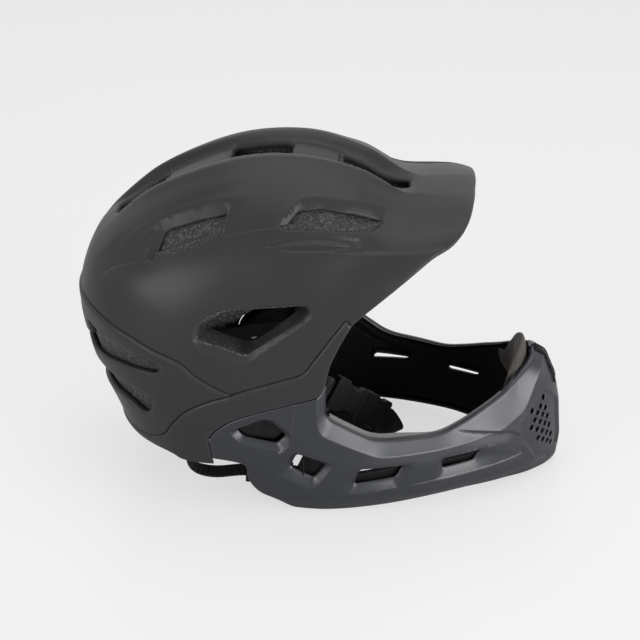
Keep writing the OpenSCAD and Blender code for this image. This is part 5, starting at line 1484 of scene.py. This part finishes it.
def turned(v):
    a, b, c = (math.radians(t) for t in buckle["turn"])
    x, y, z = v
    y, z = y * math.cos(a) - z * math.sin(a), y * math.sin(a) + z * math.cos(a)
    x, z = x * math.cos(b) + z * math.sin(b), z * math.cos(b) - x * math.sin(b)
    return np.array([x * math.cos(c) - y * math.sin(c), x * math.sin(c) + y * math.cos(c), z])


def inBuckle(along):
    return (tuple(np.array(buckle["at"]) + turned((along, 0, 0))), tuple(turned((0, 1, 0))))


halfDivider = dividerSize[0] / 2
intoSlot = halfDivider - slotDeep + 1
buckleEnd = buckle["socket"] + strapLook["easy"] + buckle["plug"]
strapPaths = {
    "front": [
        (byAnchor(anchorSpots[0]), alongWall(anchorSpots[0], -0.4)),
        (offWall(-8.5, 87, 1.8), (1, 0.22, -0.4)),
        (offWall(-17, 70, 3.6), (1, 0.1, -0.35)), (offWall(-23, 50, 4.1), (1, 0, -0.2)),
        (offWall(-28, 30, 2.8), (1, 0, -0.1)), ((dividerAt[0], topY, dividerAt[2] + 3), (1, 0, 0)),
        ((dividerAt[0], topY, dividerAt[2]), (1, 0, 0))],
    "rear": [
        (byAnchor(anchorSpots[1]), alongWall(anchorSpots[1], 0.2)),
        (offWall(-96.5, 53, 3.6), (0.8, -0.58, 0.1)),
        (offWall(-91.5, 37, 4.7), (0.76, -0.62, 0.1)), (offWall(-86.5, 23, 3.9), (0.42, -0.9, 0.1)),
        ((-79, dividerAt[1] - 1, 15.5), (0.12, -1, 0.05)), ((-66, dividerAt[1] - 1.5, 12.8), (0, -1, 0)),
        ((dividerAt[0] - halfDivider - 5, endsY - 0.6, dividerAt[2]), (0, -1, 0)),
        ((dividerAt[0] - intoSlot, endsY, dividerAt[2]), (0, -1, 0))],
    "chinRight": [
        ((dividerAt[0] + intoSlot, endsY, dividerAt[2]), (0, 1, 0)),
        ((dividerAt[0] + halfDivider + 1, endsY, dividerAt[2]), (0, 1, 0)),
        ((dividerAt[0] + halfDivider + 4, endsY, dividerAt[2]), (0, 1, 0)),
        (toBuckle(-4, 0.167, 21), (-0.1, 0.9, 0.3)), (toBuckle(-1.5, 0.357, 32), (0, 0.8, 0.6)),
        (toBuckle(-2.5, 0.571, 44), (0.15, 0.6, 0.75)), (toBuckle(-1.5, 0.762, 53.5), (0.3, 0.5, 0.8)),
        inBuckle(-6), inBuckle(0), inBuckle(buckle["pocket"] - 1)],
    "chinLeft": [
        inBuckle(buckleEnd - buckle["pocket"] + 1), inBuckle(buckleEnd), inBuckle(buckleEnd + 4),
        ((51, 6, 14), (0.6, 0.6, 0.5)), ((50, 14, 6), (0.85, 0.45, 0.2)), ((41, 23, 3), (0.7, 0.7, 0)),
        ((24, 35, 2.6), (0.5, 0.85, 0)), ((6, 46, 3.2), (0.4, 0.9, 0)),
        ((-4, -dividerAt[1] - 8.5, 8), (0.2, 0.95, 0)),
        ((dividerAt[0] + halfDivider + 4, -endsY, dividerAt[2]), (0, 1, 0)),
        ((dividerAt[0] + halfDivider + 1, -endsY, dividerAt[2]), (0, 1, 0)),
        ((dividerAt[0] + intoSlot, -endsY, dividerAt[2]), (0, 1, 0))],
}


def addStrap(name, node, stops, side):
    # the section is a flat bar with rounded edges; UV runs along the strap in metres
    along = smoothLine([s[0] for s in stops], 16)
    wide = smoothLine([s[1] for s in stops], 16)
    run = np.gradient(along, axis=0)
    run /= np.linalg.norm(run, axis=1, keepdims=True)
    wide = wide - run * np.sum(wide * run, axis=1, keepdims=True)
    wide /= np.linalg.norm(wide, axis=1, keepdims=True)
    face = np.cross(run, wide)
    w, t = strapLook["width"] / 2, strapLook["thick"] / 2
    top = [(-w, 0), (-w + 0.15, t * 0.75), (-w + 0.7, t)]
    top += [(v, t) for v in (-w * 0.6, -w * 0.2, w * 0.2, w * 0.6)] + [(w - 0.7, t), (w - 0.15, t * 0.75)]
    section = np.vstack([top, -np.array(top)])
    place = (along[:, None] + wide[:, None] * section[None, :, :1] + face[:, None] * section[None, :, 1:])
    place[:, :, 1] *= -side
    rows, columns = place.shape[:2]
    obj = makePiece(name, place.reshape(-1, 3), tubeFaces(rows, columns), webbing, bodyOf[node],
                    closed=True, sharpAngle=70)
    length = np.concatenate([[0], np.cumsum(np.linalg.norm(np.diff(along, axis=0), axis=1))])
    layer = obj.data.uv_layers.new(name="run")
    index = np.empty(len(obj.data.loops), np.int32)
    obj.data.loops.foreach_get("vertex_index", index)
    uv = np.stack([length[index // columns] * mm, section[index % columns, 0] * mm], axis=1)
    layer.data.foreach_set("uv", uv.ravel())
    standFor(obj, node)


for side, label in ((-1, "right"), (1, "left")):
    addStrap("frontWebbing_" + label, "front_strap_" + label, strapPaths["front"], side)
    addStrap("rearWebbing_" + label, "rear_strap_" + label, strapPaths["rear"], side)
addStrap("chinWebbing_right", "chin_strap_right", strapPaths["chinRight"], -1)
addStrap("chinWebbing_left", "chin_strap_left", strapPaths["chinLeft"], -1)
print("straps made")

# Buckle: both halves drawn along x, across y and thick z, then turned into place.


def prism(outline, low, high, chamfer):
    # an extruded outline whose long edges are chamfered
    line = np.asarray(outline, float)
    inner = grown(line, -chamfer)
    rings = [(inner, low), (line, low + chamfer), (line, high - chamfer), (inner, high)]
    verts = np.vstack([np.column_stack([p, np.full(len(p), z)]) for p, z in rings])
    return verts, tubeFaces(len(rings), len(line))


def joined(parts):
    verts, faces, first = [], [], 0
    for v, f in parts:
        verts.append(v)
        faces.extend(tuple(i + first for i in face) for face in f)
        first += len(v)
    return np.vstack(verts), faces


def bothSides(points):
    # an outline symmetric about y = 0 from its upper half, left to right
    p = np.asarray(points, float)
    return np.vstack([p * [1, -1], p[::-1]])


def buckleHalf(name, node, parts):
    verts, faces = joined(parts)
    verts = np.array(buckle["at"]) + np.array([turned(v) for v in verts])
    obj = makePiece(name, verts, faces, blackPlastic, bodyOf[node], closed=True, sharpAngle=40)
    standFor(obj, node)


h, t = buckle["width"] / 2, buckle["thick"] / 2
socketPlate = roundCorners(bothSides([
    (0.0, h - 1.6), (1.8, h), (9.5, h), (11.8, h - 2.4), (13.5, h - 3.4), (19.5, h - 3.4), (21.2, h - 2.2),
    (23.5, h - 0.4), (27.0, h - 0.4)]), 1.4)
socketParts = [prism(socketPlate, 2.2, t, 0.6), prism(socketPlate, -t, -2.2, 0.6)]
for s in (1, -1):
    rail = np.array([
        (0.3, 8.6), (0.3, h - 1.4), (1.8, h - 0.3), (9.3, h - 0.3), (11.6, h - 2.8), (11.6, 8.6)])
    socketParts.append(prism(roundCorners((rail * [1, s])[::s], 0.5), -2.5, 2.5, 0.2))
    mouth = np.array([(21.4, h - 2.3), (23.6, h - 0.6), (26.8, h - 0.6), (26.8, h - 1.8), (22.4, h - 1.8)])
    socketParts.append(prism(roundCorners((mouth * [1, s])[::-s], 0.3), -2.5, 2.5, 0.15))
for z in (t - 0.3, -t - 0.35):
    crest = roundCorners(bothSides([(13.2, 7.2), (15.2, 8.0), (19.2, 8.0), (21.0, 7.0)]), 1.0)
    socketParts.append(prism(crest, z, z + 0.65, 0.25))
    for x in (2.6, 5.0, 7.4):
        socketParts.append(prism(roundCorners(bothSides([(x, 9.6), (x + 1.1, 9.6)]), 0.4), z, z + 0.6, 0.2))
buckleHalf("buckleSocket", "buckle_socket", socketParts)

a = buckle["socket"] + strapLook["easy"]
plugBody = roundCorners(bothSides([
    (a, h - 1.0), (a + 2.0, h), (a + 8.5, h), (a + 11.0, h - 1.6), (a + 15.0, h - 1.6), (a + 16.6, h - 0.4),
    (a + 20.6, h - 0.4), (a + 22.0, h - 1.8)]), 1.2)
plugParts = [prism(plugBody, -t + 0.4, t - 0.4, 0.8)]
for z in (t - 0.75, -t + 0.1):
    for x, wide in ((a + 1.4, 10.6), (a + 3.6, 10.6), (a + 5.8, 10.6), (a + 17.4, 9.6)):
        rib = roundCorners(bothSides([(x, wide), (x + 1.2, wide)]), 0.4)
        plugParts.append(prism(rib, z, z + 0.65, 0.2))
for y in (-1, 0, 1):
    middle = y * (h - 2.4 - 1.5)
    prong = [(11.0, middle - 1.0), (12.2, middle - 1.5), (a + 0.6, middle - 1.5), (a + 0.6, middle + 1.5),
             (12.2, middle + 1.5), (11.0, middle + 1.0)]
    plugParts.append(prism(roundCorners(prong, 0.6), -1.75, 1.75, 0.4))
buckleHalf("bucklePlug", "buckle_plug", plugParts)
print("buckle made")

# Springs of the release buttons: wound wire round the stem.


def addSpring(name, node):
    # wound into the space of the frame's sleeve
    spring = frame["nodes"][node]
    points = np.array([spring.matrix_world @ v.co for v in spring.data.vertices]) / mm
    low, high = points.min(0), points.max(0)
    centre = (low + high) / 2
    turns, wire, steps = 3.6, 0.36, 26
    radius = (high[0] - low[0]) / 2 - 0.4
    s = np.linspace(0, 1, int(turns * steps) + 1)
    angle = 2 * math.pi * turns * s
    span = high[1] - low[1] - 2 * wire
    path = np.stack([centre[0] + radius * np.cos(angle), low[1] + wire + span * s,
                     centre[2] + radius * np.sin(angle)], axis=1)
    run = np.gradient(path, axis=0)
    run /= np.linalg.norm(run, axis=1, keepdims=True)
    out = np.stack([np.cos(angle), np.zeros_like(angle), np.sin(angle)], axis=1)
    beside = np.cross(run, out)
    turn = np.linspace(0, 2 * math.pi, 10, endpoint=False)
    away = out[:, None] * np.cos(turn)[None, :, None] + beside[:, None] * np.sin(turn)[None, :, None]
    tube = path[:, None] + wire * away
    faces = tubeFaces(*tube.shape[:2])
    standFor(makePiece(name, tube.reshape(-1, 3), faces, springSteel, bodyOf[node], closed=True), node)


for label in ("right", "left"):
    addSpring("buttonSpring_" + label, "button_spring_" + label)

# Moulded and turned parts keep the frame's shapes, with their edges rounded.

bevelledCopy("foam_core", foamBeads, 0, angle=40, planar=False)
for material, widths in (
        (blackPlastic, {
            "guard_receiver_right": 0.3, "guard_receiver_left": 0.3, "guard_plate_right": 0.4,
            "guard_plate_left": 0.4, "release_button_right": 0.6, "release_button_left": 0.6,
            "fit_cradle": 0.4, "cradle_pins": 0.2, "dial_housing": 0.5, "dial_cover": 0.3, "dial_knob": 0.5,
            "fit_belt_right": 0.12, "fit_belt_left": 0.12, "strap_anchors": 0.4,
            "strap_divider_right": 0.7, "strap_divider_left": 0.7, "strap_keeper": 0.4}),
        (springSteel, {"plate_screws": 0.2, "dial_pinion": 0.08})):
    for node, width in widths.items():
        bevelledCopy(node, material, width)
print("moulded parts finished")

# The studio: a pale floor, soft lamps and a camera at the photograph's angle.

studio = {
    "azimuth": 4.6, "elevation": 25.5, "distance": 1.6, "target": (0, 0, 0.098), "focal": 132.3,
    "worldStrength": 0.22, "floorHalf": 6.0, "floorDrop": 0.0004, "floorTone": 0.8, "floorGloss": 0.35,
    "floorGlow": 0.62,
}
# name, place, width and height, power
softboxes = [
    ("topBox", (0.0, 0.2, 1.5), (1.4, 1.2), 9.0), ("frontBox", (1.27, -0.92, 0.36), (1.7, 0.55), 27.0),
    ("sideBox", (-1.19, -1.0, 0.5), (1.0, 0.6), 11.0)]
lampAim = Vector((0, 0, 0.1))


def addCamera(scene):
    a, e = math.radians(studio["azimuth"]), math.radians(studio["elevation"])
    back = Vector((math.sin(a) * math.cos(e), -math.cos(a) * math.cos(e), math.sin(e)))
    camera = bpy.data.objects.new("camera", bpy.data.cameras.new("camera"))
    camera.location = Vector(studio["target"]) + back * studio["distance"]
    camera.rotation_euler = back.to_track_quat("Z", "Y").to_euler()
    camera.data.lens = studio["focal"]
    camera.data.sensor_width = 36.0
    scene.collection.objects.link(camera)
    scene.camera = camera


def addSoftbox(scene, name, place, size, power):
    lamp = bpy.data.lights.new(name, "AREA")
    lamp.shape = "RECTANGLE"
    lamp.size, lamp.size_y = size
    lamp.energy = power
    obj = bpy.data.objects.new(name, lamp)
    obj.location = place
    obj.rotation_euler = (Vector(place) - lampAim).to_track_quat("Z", "Y").to_euler()
    scene.collection.objects.link(obj)


def clearedTree(owner):
    owner.use_nodes = True
    owner.node_tree.nodes.clear()
    return owner.node_tree, owner.node_tree.links.new, addNode(owner.node_tree, "ShaderNodeLightPath")


def addWorld(scene):
    # plain light for the object's diffuse sides, and white where the world itself is seen or mirrored
    scene.world = bpy.data.worlds.new("studioWorld")
    tree, join, rays = clearedTree(scene.world)
    seen = addNode(tree, "ShaderNodeMath", operation="MAXIMUM")
    seenAll = addNode(tree, "ShaderNodeMath", operation="MAXIMUM")
    plain = addNode(tree, "ShaderNodeBackground", Color=(1, 1, 1, 1), Strength=studio["worldStrength"])
    white = addNode(tree, "ShaderNodeBackground", Color=(1, 1, 1, 1), Strength=1.0)
    pick = addNode(tree, "ShaderNodeMixShader")
    out = addNode(tree, "ShaderNodeOutputWorld")
    join(rays.outputs["Is Camera Ray"], seen.inputs[0])
    join(rays.outputs["Is Transmission Ray"], seen.inputs[1])
    join(seen.outputs["Value"], seenAll.inputs[0])
    join(rays.outputs["Is Glossy Ray"], seenAll.inputs[1])
    join(seenAll.outputs["Value"], pick.inputs["Fac"])
    join(plain.outputs["Background"], pick.inputs[1])
    join(white.outputs["Background"], pick.inputs[2])
    join(pick.outputs["Shader"], out.inputs["Surface"])


def addFloor(scene):
    # white paper that keeps the object's soft shadow
    size = studio["floorHalf"]
    mesh = bpy.data.meshes.new("floor")
    corners = [(-size, -size, 0), (size, -size, 0), (size, size, 0), (-size, size, 0)]
    mesh.from_pydata(corners, [], [(0, 1, 2, 3)])
    floor = bpy.data.objects.new("floor", mesh)
    floor.location.z = -studio["floorDrop"]
    scene.collection.objects.link(floor)
    paper = bpy.data.materials.new("paperFloor")
    mesh.materials.append(paper)
    tree, join, rays = clearedTree(paper)
    sheet = addNode(tree, "ShaderNodeBsdfPrincipled", Roughness=studio["floorGloss"])
    sheet.inputs["Base Color"].default_value = (*[studio["floorTone"]] * 3, 1)
    glow = addNode(tree, "ShaderNodeEmission", Color=(1, 1, 1, 1), Strength=1.0)
    share = addNode(tree, "ShaderNodeMath", operation="MULTIPLY")
    share.inputs[1].default_value = studio["floorGlow"]
    blend = addNode(tree, "ShaderNodeMixShader")
    out = addNode(tree, "ShaderNodeOutputMaterial")
    join(rays.outputs["Is Camera Ray"], share.inputs[0])
    join(share.outputs["Value"], blend.inputs["Fac"])
    join(sheet.outputs["BSDF"], blend.inputs[1])
    join(glow.outputs["Emission"], blend.inputs[2])
    join(blend.outputs["Shader"], out.inputs["Surface"])


stage = bpy.context.scene
stage.view_settings.view_transform = "Standard"
addCamera(stage)
for box in softboxes:
    addSoftbox(stage, *box)
addWorld(stage)
addFloor(stage)
print("studio set")
